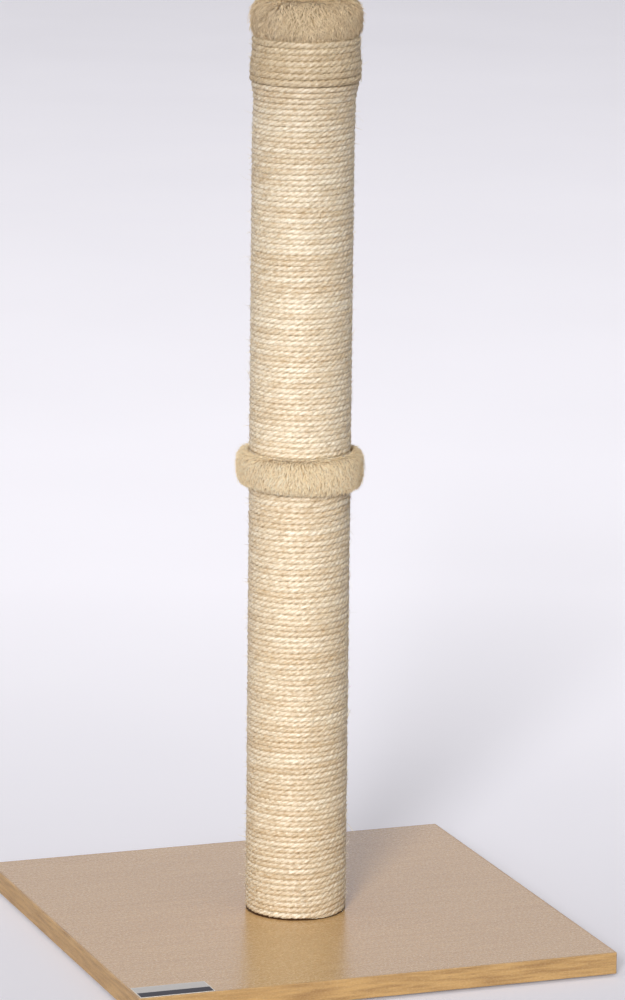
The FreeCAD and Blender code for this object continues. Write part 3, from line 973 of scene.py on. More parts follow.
@dataclass
class Studio:
    """Floor, soft light and the camera at the photograph's place."""

    floor_reach: float = 60.0
    floor_gap: float = 0.2 * MM
    camera_place: tuple[float, float, float] = (-1.89795, -5.22025, 1.66140)
    azimuth: float = math.radians(-20.115)
    elevation: float = math.radians(12.311)
    roll: float = math.radians(0.616)
    focal_pixels: float = 5668.2
    sensor: float = 36.0
    key_light: Sun = Sun(azimuth=-32, elevation=22, strength=2.4, spread=14)
    fill_light: Sun = Sun(azimuth=50, elevation=25, strength=0.05, spread=60)
    top_light: Sun = Sun(azimuth=-32, elevation=76, strength=0.44, spread=60)
    front_elevation: float = math.radians(5)
    front_distance: float = 2.2
    front_aim: float = 0.39
    front_cone: float = math.radians(27)
    front_power: float = 52.0
    front_size: float = 0.2
    sky_strength: float = 0.34
    sky: Colour = (1.0, 1.0, 1.0, 1.0)
    backdrop: Colour = srgb(226, 231, 250)

    def build(self) -> None:
        """Sets up everything that isn't the post itself."""
        self.lay_floor()
        self.hang_sun("key_light", self.key_light)
        self.hang_sun("fill_light", self.fill_light)
        self.hang_sun("top_light", self.top_light)
        self.hang_front_light()
        self.light_sky()
        self.place_camera()
        bpy.context.scene.view_settings.view_transform = "Standard"

    def lay_floor(self) -> None:
        """Lays the floor just under the felt pads."""
        reach = self.floor_reach
        corners = np.array(
            [(x, y, -self.floor_gap) for x, y in ((-1, -1), (1, -1), (1, 1), (-1, 1))]
        ) * (reach, reach, 1)
        floor = make_piece("floor", corners, [np.array([[0, 1, 2, 3]])])
        FloorFinish("pale_floor").dress(floor)

    def hang_sun(self, name: str, sun: Sun) -> None:
        """Adds one distant soft lamp.

        Args:
            name: Name of the lamp.
            sun: Its place, strength and width, with angles in degrees.
        """
        lamp = bpy.data.lights.new(name, "SUN")
        lamp.energy = sun.strength
        lamp.angle = math.radians(sun.spread)
        back = self.outward(math.radians(sun.azimuth), math.radians(sun.elevation))
        self.hang(lamp, back, Vector())

    def hang_front_light(self) -> None:
        """Adds the low lamp that brightens the middle of the post more than its ends."""
        lamp = bpy.data.lights.new("front_light", "SPOT")
        lamp.energy = self.front_power
        lamp.spot_size = self.front_cone
        lamp.spot_blend = 1.0
        lamp.shadow_soft_size = self.front_size
        back = self.outward(math.radians(self.key_light.azimuth), self.front_elevation)
        self.hang(lamp, back, back * self.front_distance + Vector((0, 0, self.front_aim)))

    @staticmethod
    def hang(lamp: bpy.types.Light, back: Vector, place: Vector) -> None:
        """Hangs a lamp in the scene.

        Args:
            lamp: The lamp.
            back: Direction from what it lights to the lamp.
            place: Where it hangs.
        """
        holder = bpy.data.objects.new(lamp.name, lamp)
        holder.rotation_mode = "QUATERNION"
        holder.rotation_quaternion = back.to_track_quat("Z", "Y")
        holder.location = place
        bpy.context.scene.collection.objects.link(holder)

    @staticmethod
    def outward(azimuth: float, elevation: float) -> Vector:
        """Gives the direction from the post to something round it.

        Args:
            azimuth: Zero is in front, in radians.
            elevation: Height above the horizon, in radians.

        Returns:
            The direction, one long.
        """
        flat = math.cos(elevation)
        return Vector(
            (math.sin(azimuth) * flat, -math.cos(azimuth) * flat, math.sin(elevation))
        )

    def light_sky(self) -> None:
        """Lights the post evenly and shows lamps, gloss and camera the pale backdrop."""
        world = bpy.data.worlds.new("studio")
        world.use_nodes = True
        bpy.context.scene.world = world
        nodes, links = world.node_tree.nodes, world.node_tree.links
        lit = nodes["Background"]
        lit.inputs["Color"].default_value = self.sky
        lit.inputs["Strength"].default_value = self.sky_strength
        seen = nodes.new("ShaderNodeBackground")
        seen.inputs["Color"].default_value = self.backdrop
        path = nodes.new("ShaderNodeLightPath")
        chosen = path.outputs["Is Camera Ray"]
        for ray in ("Is Glossy Ray", "Is Transmission Ray"):
            either = nodes.new("ShaderNodeMath")
            either.operation = "MAXIMUM"
            links.new(chosen, either.inputs[0])
            links.new(path.outputs[ray], either.inputs[1])
            chosen = either.outputs[0]
        mixer = nodes.new("ShaderNodeMixShader")
        links.new(chosen, mixer.inputs[0])
        links.new(lit.outputs[0], mixer.inputs[1])
        links.new(seen.outputs[0], mixer.inputs[2])
        links.new(mixer.outputs[0], nodes["World Output"].inputs["Surface"])

    def place_camera(self) -> None:
        """Puts the camera where the photograph was taken from."""
        back = self.outward(self.azimuth, self.elevation)
        right = Vector((math.cos(self.azimuth), math.sin(self.azimuth), 0))
        up = back.cross(right)
        level = math.cos(self.roll), math.sin(self.roll)
        across = right * level[0] + up * level[1]
        upright = up * level[0] - right * level[1]
        camera = bpy.data.cameras.new("camera")
        camera.sensor_width = self.sensor
        camera.lens = self.focal_pixels * self.sensor / PHOTO_HEIGHT
        camera.clip_end = 2 * self.floor_reach
        holder = bpy.data.objects.new("camera", camera)
        turned = Matrix((across, upright, back)).transposed()
        holder.matrix_world = Matrix.Translation(self.camera_place) @ turned.to_4x4()
        bpy.context.scene.collection.objects.link(holder)
        bpy.context.scene.camera = holder


# ---------------------------------------------------------------- board

@dataclass
class Board:
    """Laminated chipboard board with its edge bands, label and felt pads."""

    pad_columns: int = 72
    pad_rounding: float = 0.5 * MM
    pad_bevel: float = 0.1 * MM
    pad_pinhole: float = 0.2 * MM
    pad_wear: float = 0.25 * MM
    seed: int = 11

    def build(self) -> list[bpy.types.Object]:
        """Dresses the board's pieces and makes its felt pads.

        Returns:
            The board's pieces and the pads.
        """
        nodes = frame["nodes"]
        faces = [nodes["base_top_laminate"], nodes["base_bottom_laminate"]]
        BeechFinish("beech_top").dress(*faces)
        edge = BeechFinish(
            "beech_edge_x",
            grain=Grain.ALONG_X,
            ground=srgb(196, 155, 96),
            streak=srgb(132, 92, 46),
            fleck=srgb(130, 92, 48),
            speckle_share=0.16,
            fleck_share=0.7,
            streak_density=20.0,
            gloss_roughness=0.4,
        )
        long_bands = [nodes["edge_band_front"], nodes["edge_band_rear"]]
        edge.dress(*long_bands)
        side_bands = [nodes["edge_band_left"], nodes["edge_band_right"]]
        replace(edge, name="beech_edge_y", grain=Grain.ALONG_Y).dress(*side_bands)
        core, label = nodes["base_core"], nodes["corner_label"]
        ChipboardFinish("chipboard").dress(core)
        low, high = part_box("corner_label")
        foil = LabelFinish("label_foil", left=low.x, right=high.x, front=low.y, rear=high.y)
        foil.dress(label)
        pad_nodes = sorted(name for name in nodes if name.startswith("foot_pad"))
        pads = [self.make_pad(name, number) for number, name in enumerate(pad_nodes)]
        return [core, *faces, *long_bands, *side_bands, label, *pads]

    def make_pad(self, node: str, number: int) -> bpy.types.Object:
        """Makes one felt disc with a soft, slightly worn rim.

        Args:
            node: Name of the pad's construction node.
            number: Number of the pad, for its own wear.

        Returns:
            The disc.
        """
        low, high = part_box(node)
        centre, thick = (low + high) / 2, high.z - low.z
        radius = (high.x - low.x) / 2
        soft, bevel, hole = self.pad_rounding, self.pad_bevel, self.pad_pinhole
        rim = arc((radius - soft, soft), (soft, soft), -90, 0, 4)
        rim += [(radius, thick * 0.5), (radius - bevel, thick - bevel), (radius * 0.98, thick)]
        section = np.array([(hole, 0.0), (radius * 0.5, 0.0), *rim, (hole, thick)])
        pad = revolved(f"{node}_felt", section, self.pad_columns)
        points = points_of(pad)
        angles = np.arctan2(points[:, 1], points[:, 0])
        rng = np.random.default_rng(self.seed + number)
        waves = sum(
            rng.uniform(-1, 1) * np.sin(turns * angles + rng.uniform(0, TURN))
            for turns in (3, 5, 8, 13)
        )
        distance = np.linalg.norm(points[:, :2], axis=1)
        points[:, :2] *= (1 + waves * self.pad_wear / 3 * distance / radius**2)[:, None]
        points += (centre.x, centre.y, low.z)
        move_points(pad, points)
        FeltFinish("felt").dress(pad)
        settle(pad, "felt", node)
        return pad


@dataclass
class FootShadeRing:
    """Thin dark felt ring between the board and the rope's lowest turn: a dark piece put where there is
    only the contact shadow under the rope, as painted shade.
    """

    thickness: float = 1.3 * MM
    inset: float = 0.4 * MM
    tube_gap: float = 0.2 * MM
    board_gap: float = 0.02 * MM
    raggedness: float = 0.25 * MM
    columns: int = 240
    seed: int = 12

    def build(self) -> list[bpy.types.Object]:
        """Makes the ring round the foot of the lower tube.

        Returns:
            The ring.
        """
        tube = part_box("lower_tube")
        inner = tube[1].x + self.tube_gap
        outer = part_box("lower_rope_turns")[1].x - self.inset
        low, high = tube[0].z + self.board_gap, tube[0].z + self.thickness
        section = np.array([(inner, low), (outer, low), (outer, high), (inner, high)])
        washer = revolved("foot_shade_ring", section, self.columns)
        points = points_of(washer)
        distance = np.linalg.norm(points[:, :2], axis=1)
        rough = np.random.default_rng(self.seed).normal(0, self.raggedness, len(points))
        grown = np.where(distance > (inner + outer) / 2, rough, 0)
        points[:, :2] *= (1 + grown / distance)[:, None]
        move_points(washer, points)
        # painted shade: the ring's dark felt colours stand in for the contact shadow under the lowest
        # turn
        FeltFinish("foot_shade_felt", ground=srgb(62, 36, 12), hair=srgb(88, 56, 26)).dress(washer)
        settle(washer, "felt")
        return [washer]


@dataclass
class Fixings:
    """Bolt, stud, nuts, nails, plugs and tubes inside the post."""

    def build(self) -> list[bpy.types.Object]:
        """Dresses the hidden pieces of the post.

        Returns:
            The dressed pieces.
        """
        nodes = frame["nodes"]
        steel = [
            node
            for name, node in nodes.items()
            if name.endswith(("_insert", "_bolt", "_washer", "_stud", "_nails", "_screw"))
        ]
        ZincFinish("zinc_steel").dress(*steel)
        tubes = [nodes["lower_tube"], nodes["upper_tube"]]
        CardFinish("card_tube").dress(*tubes)
        plugs = [node for name, node in nodes.items() if name.endswith("_plug")]
        PlugWoodFinish("plug_wood").dress(*plugs)
        return [*steel, *tubes, *plugs]


# ---------------------------------------------------------------- rope

@dataclass(frozen=True)
class Rope:
    """Three-strand rope as it comes off the reel."""

    radius: float = 3 * MM
    strand_count: int = 3
    strand_share: float = 0.66
    lay_length: float = 20.5 * MM
    lay: Lay = Lay.RISING
    overlap: float = 1.26
    sides_per_strand: int = 4
    step: float = 1.5 * MM

    def outline(self) -> tuple[np.ndarray, np.ndarray]:
        """Works out one section, with a corner in each valley between strands.

        Returns:
            The angle and the distance from the rope's line of each corner.
        """
        count = self.strand_count * self.sides_per_strand
        angles = np.arange(count) * TURN / count
        half = math.pi / self.strand_count
        from_crown = (angles + half) % (2 * half) - half
        strand = self.radius * self.strand_share
        offset = self.radius - strand
        reach = np.sqrt(strand**2 - (offset * np.sin(from_crown)) ** 2)
        return angles, offset * np.cos(from_crown) + reach


@dataclass(frozen=True)
class Stretch:
    """Part of a winding with one distance between its turns."""

    top: float
    pitch: float


@dataclass
class RopeLine:
    """The middle line of a wound rope, station by station."""

    angle: np.ndarray
    radius: np.ndarray
    level: np.ndarray
    along: np.ndarray
    squeeze: np.ndarray

    @property
    def outward(self) -> np.ndarray:
        """Direction away from the post at each station."""
        return np.stack([np.cos(self.angle), np.sin(self.angle), 0 * self.angle], axis=-1)

    @property
    def forward(self) -> np.ndarray:
        """Direction along the rope at each station."""
        return round_post(self.angle)

    @property
    def middle(self) -> np.ndarray:
        """Place of each station."""
        flat = self.outward * self.radius[:, None]
        return flat + self.level[:, None] * (0, 0, 1)


@dataclass(frozen=True)
class LooseFibres:
    """How the loose fibres of a rope stand out of it."""

    stray_share: float = 0.2
    backward_share: float = 0.35
    root_depth: float = 0.97
    tilt: tuple[float, float] = (0.1, 0.5)
    stray_rise: tuple[float, float] = (0.2, 0.8)
    flat_rise: tuple[float, float] = (0.0, 0.12)
    slant: float = 0.5
    slant_spread: float = 0.3
    length_shape: float = 3.0
    length_scale: float = 1.6 * MM
    curl: float = 0.25
    flat_curl: float = 0.3
    widths: tuple[float, float] = (0.16 * MM, 0.48 * MM)
    stations: tuple[float, ...] = (0.0, 0.35, 0.7, 1.0)
    taper: tuple[float, ...] = (1.0, 0.9, 0.7, 0.35)
    low_margin: float = 0.2 * MM
    high_margin: float = 2 * MM


@dataclass
class Winding:
    """One rope wound round the post, its end turns level and jogging up at one side."""

    name: str
    nodes: tuple[str, ...]
    bottom: float
    core_radius: float
    stretches: tuple[Stretch, ...]
    flare: Callable[[np.ndarray], np.ndarray]
    fibre_count: int
    seed: int
    rope: Rope = field(default_factory=Rope)
    finish: SisalFinish = SisalFinish("sisal")
    fibres: LooseFibres = LooseFibres()
    start_angle: float = math.radians(-45)
    jog: float = 0.14
    jog_fade_low: float = 9.0
    jog_fade_high: float = 4.0
    tuck_share: float = 0.9
    drift: float = 0.55 * MM
    drift_fade: float = 20 * MM
    drift_lengths: tuple[float, float] = (45 * MM, 130 * MM)
    drift_waves: tuple[int, ...] = (1, 2, 3, 5)
    wobble: tuple[float, float] = (45 * MM, 0.22 * MM)
    uneven_twist: tuple[float, float] = (60 * MM, 0.7)
    uneven_size: tuple[float, float] = (14 * MM, 0.05)
    uneven_tone: tuple[float, float] = (70 * MM, 0.25)
    middle_tone: float = 0.25
    strand_tone: float = 0.12
    shag: float = 0.19 * MM

    @property
    def top(self) -> float:
        """Level that the highest turn reaches."""
        return self.stretches[-1].top

    def build(self) -> list[bpy.types.Object]:
        """Winds the rope and grows its loose fibres.

        Returns:
            The rope and its fibres.
        """
        rng = np.random.default_rng(self.seed)
        line = self.wind(rng)
        winding = self.twist(line, rng)
        settle(winding, "sisal", *self.nodes)
        fibres = self.fray(line, rng)
        settle(fibres, "sisal")
        self.finish.dress(winding)
        HairFinish(
            "sisal_fibre",
            # root: painted shade where the loose fibres leave the rope
            root=srgb(220, 194, 146),
            tip=srgb(255, 244, 216),
            odd=srgb(176, 140, 90),
            sheen=0.1,
        ).dress(fibres)
        turns = (line.angle[-1] - line.angle[0]) / TURN
        log.info("%s: %.1f turns, %.1f m of rope", self.name, turns, line.along[-1])
        return [winding, fibres]

    def wind(self, rng: np.random.Generator) -> RopeLine:
        """Works out the rope's middle line.

        Args:
            rng: Seeded source of random numbers.

        Returns:
            The line from the lowest turn to the highest.
        """
        radius = self.rope.radius
        levels = [self.bottom + self.stretches[0].pitch / 2]
        levels += [stretch.top for stretch in self.stretches[:-1]]
        levels.append(self.stretches[-1].top - self.stretches[-1].pitch / 2)
        spans = [
            (high - low) / stretch.pitch
            for low, high, stretch in zip(levels, levels[1:], self.stretches)
        ]
        passed = np.concatenate([[0], np.cumsum(spans)])
        climbs = round(passed[-1])
        last_turn = climbs + 1 - self.jog
        girth = TURN * (self.core_radius + radius)
        tuck = self.tuck_share * self.jog
        count = int((last_turn + 2 * tuck) * girth / self.rope.step)
        turns = np.linspace(-tuck, last_turn + tuck, count)
        steady = turns * climbs / last_turn
        into_jog = np.clip((turns % 1 - (1 - self.jog)) / self.jog, 0, 1)
        stepped = np.floor(turns) + eased(into_jog)
        stiff = np.maximum(
            np.exp(-np.maximum(turns, 0) / self.jog_fade_low),
            np.exp(np.minimum(turns - last_turn, 0) / self.jog_fade_high),
        )
        climbed = (1 - stiff) * steady + stiff * stepped
        first, last = self.stretches[0].pitch, self.stretches[-1].pitch
        level = np.interp(
            climbed * passed[-1] / climbs,
            [-1, *passed, passed[-1] + 1],
            [levels[0] - first, *levels, levels[-1] + last],
        )
        angle = self.start_angle + TURN * turns
        height = levels[-1] - levels[0]
        share = (level - levels[0]) / height
        free = np.clip(np.minimum(share, 1 - share) * height / self.drift_fade, 0, 1)
        level = level + free * self.sway(angle, level, rng)
        pitch = np.interp(level, levels, [first, *[stretch.pitch for stretch in self.stretches]])
        along = turns * girth
        wobble = smooth_noise(rng, along, *self.wobble)
        return RopeLine(
            angle=angle,
            radius=self.core_radius + radius + wobble + self.flare(level),
            level=level,
            along=along,
            squeeze=self.rope.overlap * pitch / (2 * radius),
        )

    def sway(
        self, angle: np.ndarray, level: np.ndarray, rng: np.random.Generator
    ) -> np.ndarray:
        """Bends the turns up and down together, as hands lay them unevenly.

        Args:
            angle: Angle of each station round the post.
            level: Level of each station.
            rng: Seeded source of random numbers.

        Returns:
            How far each station is raised.
        """
        total = np.zeros_like(angle)
        for waves in self.drift_waves:
            length = rng.uniform(*self.drift_lengths)
            shift = rng.uniform(0, TURN)
            total += np.sin(waves * angle + TURN * level / length + shift) / waves
        return total * self.drift / 2

    def twist(self, line: RopeLine, rng: np.random.Generator) -> bpy.types.Object:
        """Sweeps the three strands along the line.

        Args:
            line: The rope's middle line.
            rng: Seeded source of random numbers.

        Returns:
            The rope as one closed mesh.
        """
        angles, reach = self.rope.outline()
        stations, sides = len(line.along), len(angles)
        turned = self.rope.lay.value * TURN * line.along / self.rope.lay_length
        turned += smooth_noise(rng, line.along, *self.uneven_twist)
        around = angles[None] + turned[:, None]
        swell = 1 + smooth_noise(rng, line.along, *self.uneven_size)
        shag = reach + rng.normal(0, self.shag, (stations, sides))
        out = shag * np.cos(around) * swell[:, None]
        rise = shag * np.sin(around) * line.squeeze[:, None]
        points = line.middle[:, None] + out[..., None] * line.outward[:, None]
        points[..., 2] = np.clip(points[..., 2] + rise, self.bottom, self.top)
        ends = np.stack([np.arange(sides)[::-1], np.arange(sides) + (stations - 1) * sides])
        piece = make_piece(
            self.name, points.reshape(-1, 3), [grid_faces(stations, sides, closed_rows=False), ends]
        )
        fibre = np.empty((stations, sides, 3))
        fibre[..., 0] = line.along[:, None]
        fibre[..., 1] = reach * np.cos(around)
        fibre[..., 2] = reach * np.sin(around)
        store(piece, "fibre", fibre.reshape(-1, 3))
        crest = (reach - reach.min()) / (reach.max() - reach.min())
        store(piece, "crest", np.tile(crest, stations))
        tone = self.middle_tone + smooth_noise(rng, line.along, *self.uneven_tone)
        strand_tones = rng.uniform(-self.strand_tone, self.strand_tone, self.rope.strand_count)
        by_side = np.repeat(strand_tones, self.rope.sides_per_strand)
        store(piece, "tone", (tone[:, None] + by_side).ravel())
        return piece

    def fray(self, line: RopeLine, rng: np.random.Generator) -> bpy.types.Object:
        """Grows the loose fibres that stand out of the rope.

        Args:
            line: The rope's middle line.
            rng: Seeded source of random numbers.

        Returns:
            All loose fibres as one mesh.
        """
        kind = self.fibres
        each = (self.fibre_count, 1)
        at = rng.integers(0, len(line.along), self.fibre_count)
        outward, forward = line.outward[at], line.forward[at]
        upward = np.array([0.0, 0.0, 1.0])
        stray = rng.uniform(0, 1, each) < kind.stray_share
        tilt = rng.normal(*kind.tilt, each)
        surface = outward * np.cos(tilt) + upward * np.sin(tilt) * line.squeeze[at][:, None]
        root = line.middle[at] + surface * (self.rope.radius * kind.root_depth)
        way = rng.choice([-1.0, 1.0], each, p=[kind.backward_share, 1 - kind.backward_share])
        rise = np.where(stray, rng.uniform(*kind.stray_rise, each), rng.uniform(*kind.flat_rise, each))
        slant = self.rope.lay.value * kind.slant * way + rng.normal(0, kind.slant_spread, each)
        heading = unit(forward * way + outward * rise + upward * slant)
        length = rng.gamma(kind.length_shape, kind.length_scale, each)
        curl = rng.normal(0, kind.curl, (self.fibre_count, 3)) * np.where(stray, 1.0, kind.flat_curl)
        spines = np.stack(
            [root + length * (u * heading + u * u * curl) for u in kind.stations], axis=1
        )
        lowest, highest = self.bottom + kind.low_margin, self.top + kind.high_margin
        spines[..., 2] = np.clip(spines[..., 2], lowest, highest)
        width = rng.uniform(*kind.widths, each) * kind.taper
        return strands(f"{self.name}_fibres", spines, upward + 0.01 * outward, width, flatness=1.0)


@dataclass
class PostRopes:
    """The two long windings and the cap's binding, fitted to the construction pieces."""

    valley: float = 7 * MM
    skirt_thick: float = 4.2 * MM
    tight_reach: float = 281 * MM
    tight_pitch: float = 5.475 * MM
    loose_pitch: float = 5.83 * MM
    upper_pitch: float = 5.4 * MM
    binding_pitch: float = 6.39 * MM
    binding_radius: float = 3.15 * MM
    swell_height: float = 2.9 * MM
    swell_reach: float = 19 * MM
    swell_power: float = 1.2
    neck_depth: float = 1.6 * MM
    neck_start: float = 17 * MM
    neck_reach: float = 11 * MM

    def __post_init__(self) -> None:
        """Takes levels and the tubes' radius from the construction pieces."""
        self.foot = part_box("base_top_laminate")[1].z + FootShadeRing.thickness
        self.ring_low, self.ring_high = (corner.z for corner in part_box("ring_cover"))
        self.tube_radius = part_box("upper_tube")[1].x
        self.skirt_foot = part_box("cap_cover")[0].z
        self.binding_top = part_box("binding_turns")[1].z

    @staticmethod
    def straight(level: np.ndarray) -> np.ndarray:
        """Keeps a winding straight."""
        return 0 * level

    def swell_to_skirt(self, level: np.ndarray) -> np.ndarray:
        """Lifts the highest turns over the foot of the skirt."""
        share = np.clip((level - self.skirt_foot) / self.swell_reach + 1, 0, 1)
        return self.swell_height * share**self.swell_power

    def draw_in_at_top(self, level: np.ndarray) -> np.ndarray:
        """Draws the highest turns of the binding in under the cap."""
        share = np.clip((level - self.skirt_foot - self.neck_start) / self.neck_reach, 0, 1)
        return -self.neck_depth * share

    def lower(self) -> Winding:
        """Describes the winding from the board to the ring.

        Returns:
            The winding, ready to build.
        """
        return Winding(
            name="lower_winding",
            nodes=("lower_rope_wrap", "lower_rope_turns"),
            bottom=self.foot,
            core_radius=self.tube_radius,
            stretches=(
                Stretch(top=self.foot + self.tight_reach, pitch=self.tight_pitch),
                Stretch(top=self.ring_low + self.valley, pitch=self.loose_pitch),
            ),
            flare=self.straight,
            fibre_count=12000,
            seed=21,
        )

    def upper(self) -> Winding:
        """Describes the winding from the ring to the foot of the cap's skirt.

        Returns:
            The winding, ready to build.
        """
        return Winding(
            name="upper_winding",
            nodes=("upper_rope_wrap", "upper_rope_turns"),
            bottom=self.ring_high - self.valley,
            core_radius=self.tube_radius,
            stretches=(Stretch(top=self.skirt_foot, pitch=self.upper_pitch),),
            flare=self.swell_to_skirt,
            fibre_count=11000,
            seed=22,
            start_angle=math.radians(75),
        )

    def binding(self) -> Winding:
        """Describes the darker, thicker turns that tie the cap's skirt.

        Returns:
            The winding, ready to build.
        """
        return Winding(
            name="binding_winding",
            nodes=("binding_turns",),
            bottom=self.skirt_foot,
            core_radius=self.tube_radius + self.skirt_thick,
            stretches=(Stretch(top=self.binding_top, pitch=self.binding_pitch),),
            flare=self.draw_in_at_top,
            fibre_count=1600,
            seed=23,
            rope=Rope(radius=self.binding_radius),
            finish=SisalFinish(
                "sisal_binding",
                crown=srgb(224, 206, 174),
                body=srgb(180, 152, 110),
                # painted shade for the grooves between the binding's strands
                groove_shade=srgb(150, 116, 74),
            ),
            start_angle=math.radians(60),
            jog_fade_low=2.0,
            jog_fade_high=2.0,
        )


# ---------------------------------------------------------------- plush

def puff_up(piece: bpy.types.Object, held: np.ndarray, pressure: float, most: float) -> None:
    """Lets the stuffing push a cover outwards, as cloth under pressure.

    Args:
        piece: The closed cover.
        held: Which points are sewn or nailed down.
        pressure: Pressure of the stuffing.
        most: Furthest that any point may move.
    """
    scene = bpy.context.scene
    before = points_of(piece)
    group = piece.vertex_groups.new(name="held")
    group.add(np.flatnonzero(held).tolist(), 1.0, "REPLACE")
    cloth = piece.modifiers.new("cover", "CLOTH")
    cloth.settings.vertex_group_mass = group.name
    cloth.settings.use_pressure = True
    cloth.settings.uniform_pressure_force = pressure
    cloth.settings.effector_weights.gravity = 0
    cloth.point_cache.frame_start, cloth.point_cache.frame_end = 1, PUFF_FRAMES
    for number in range(1, PUFF_FRAMES + 1):
        scene.frame_set(number)
    evaluated = piece.evaluated_get(bpy.context.evaluated_depsgraph_get())
    moved = points_of(evaluated) - before
    piece.modifiers.remove(cloth)
    scene.frame_set(1)
    distance = np.linalg.norm(moved, axis=1, keepdims=True)
    moved *= np.minimum(1, most / np.maximum(distance, 1e-9))
    piece.vertex_groups.remove(group)
    move_points(piece, before + moved)


@dataclass(frozen=True)
class Pile:
    """Combed tufts that grow on a plush cover."""

    spacing: float
    length: float
    width: float
    lift: float
    swirl: float
    seed: int
    droop: float = 0.0
    inward: bool = False
    curl: float = 0.3
    flatness: float = 0.55
    swirl_spread: float = 0.8
    length_spread: tuple[float, float] = (0.6, 1.25)
    lift_spread: tuple[float, float] = (0.4, 1.6)
    width_spread: tuple[float, float] = (0.55, 1.3)
    arch: tuple[float, float] = (1.7, 1.1)
    stations: tuple[float, ...] = (-0.05, 0.35, 0.7, 1.0)
    taper: tuple[float, ...] = (0.7, 1.0, 0.8, 0.12)

    def grow(self, name: str, cover: bpy.types.Object, bare: np.ndarray) -> bpy.types.Object:
        """Covers the open part of a cover with tufts.

        Args:
            name: Name of the new piece.
            cover: The cover that the tufts grow on.
            bare: Which of its points stay without tufts.

        Returns:
            The tufts as one mesh.
        """
        rng = np.random.default_rng(self.seed)
        root, normal = self.scatter(cover, bare, rng)
        count = len(root)
        angle = np.arctan2(root[:, 1], root[:, 0])
        around = round_post(angle)
        downhill = unit(np.cross(around, normal)) * (-1 if self.inward else 1)
        lean = self.swirl * (
            np.sin(3 * angle + 90 * root[:, 2] + self.seed)
            + np.sin(7 * angle - 140 * root[:, 2])
            + rng.normal(0, self.swirl_spread, count)
        )[:, None]
        heading = downhill * np.cos(lean) + around * np.sin(lean)
        heading[:, 2] -= self.droop
        inwards = np.minimum((heading * normal).sum(axis=1, keepdims=True), 0)
        heading = unit(heading - inwards * normal)
        length = self.length * rng.uniform(*self.length_spread, (count, 1))
        lift = self.lift * rng.uniform(*self.lift_spread, (count, 1))
        curl = rng.normal(0, self.curl, (count, 1))
        across = np.cross(heading, normal)
        steep, fall = self.arch
        spines = np.stack(
            [
                root
                + length * u * heading
                + length * lift * u * (steep - fall * u) * normal
                + length * curl * u * u * across
                for u in self.stations
            ],
            axis=1,
        )
        width = self.width * rng.uniform(*self.width_spread, (count, 1)) * self.taper
        return strands(name, spines, across, width, self.flatness)

    def scatter(
        self, cover: bpy.types.Object, bare: np.ndarray, rng: np.random.Generator
    ) -> tuple[np.ndarray, np.ndarray]:
        """Picks evenly scattered roots on the open part of a cover.

        Args:
            cover: The cover.
            bare: Which of its points stay without tufts.
            rng: Seeded source of random numbers.

        Returns:
            The roots and the cover's direction outwards at each.
        """
        mesh = cover.data
        mesh.calc_loop_triangles()
        corners = np.array([triangle.vertices for triangle in mesh.loop_triangles])
        corners = corners[~bare[corners].any(axis=1)]
        points = points_of(cover)
        normals = np.array([vertex.normal for vertex in mesh.vertices])
        first, second, third = (points[corners[:, index]] for index in range(3))
        areas = np.linalg.norm(np.cross(second - first, third - first), axis=1) / 2
        count = int(areas.sum() / self.spacing**2)
        reach = (np.arange(count) + rng.uniform(0, 1, count)) * areas.sum() / count
        chosen = np.minimum(np.searchsorted(np.cumsum(areas), reach), len(areas) - 1)
        share = rng.uniform(0, 1, (count, 2))
        flip = share.sum(axis=1) > 1
        share[flip] = 1 - share[flip]
        weights = np.column_stack([1 - share.sum(axis=1), share])
        root = (points[corners[chosen]] * weights[..., None]).sum(axis=1)
        normal = unit((normals[corners[chosen]] * weights[..., None]).sum(axis=1))
        return root, normal


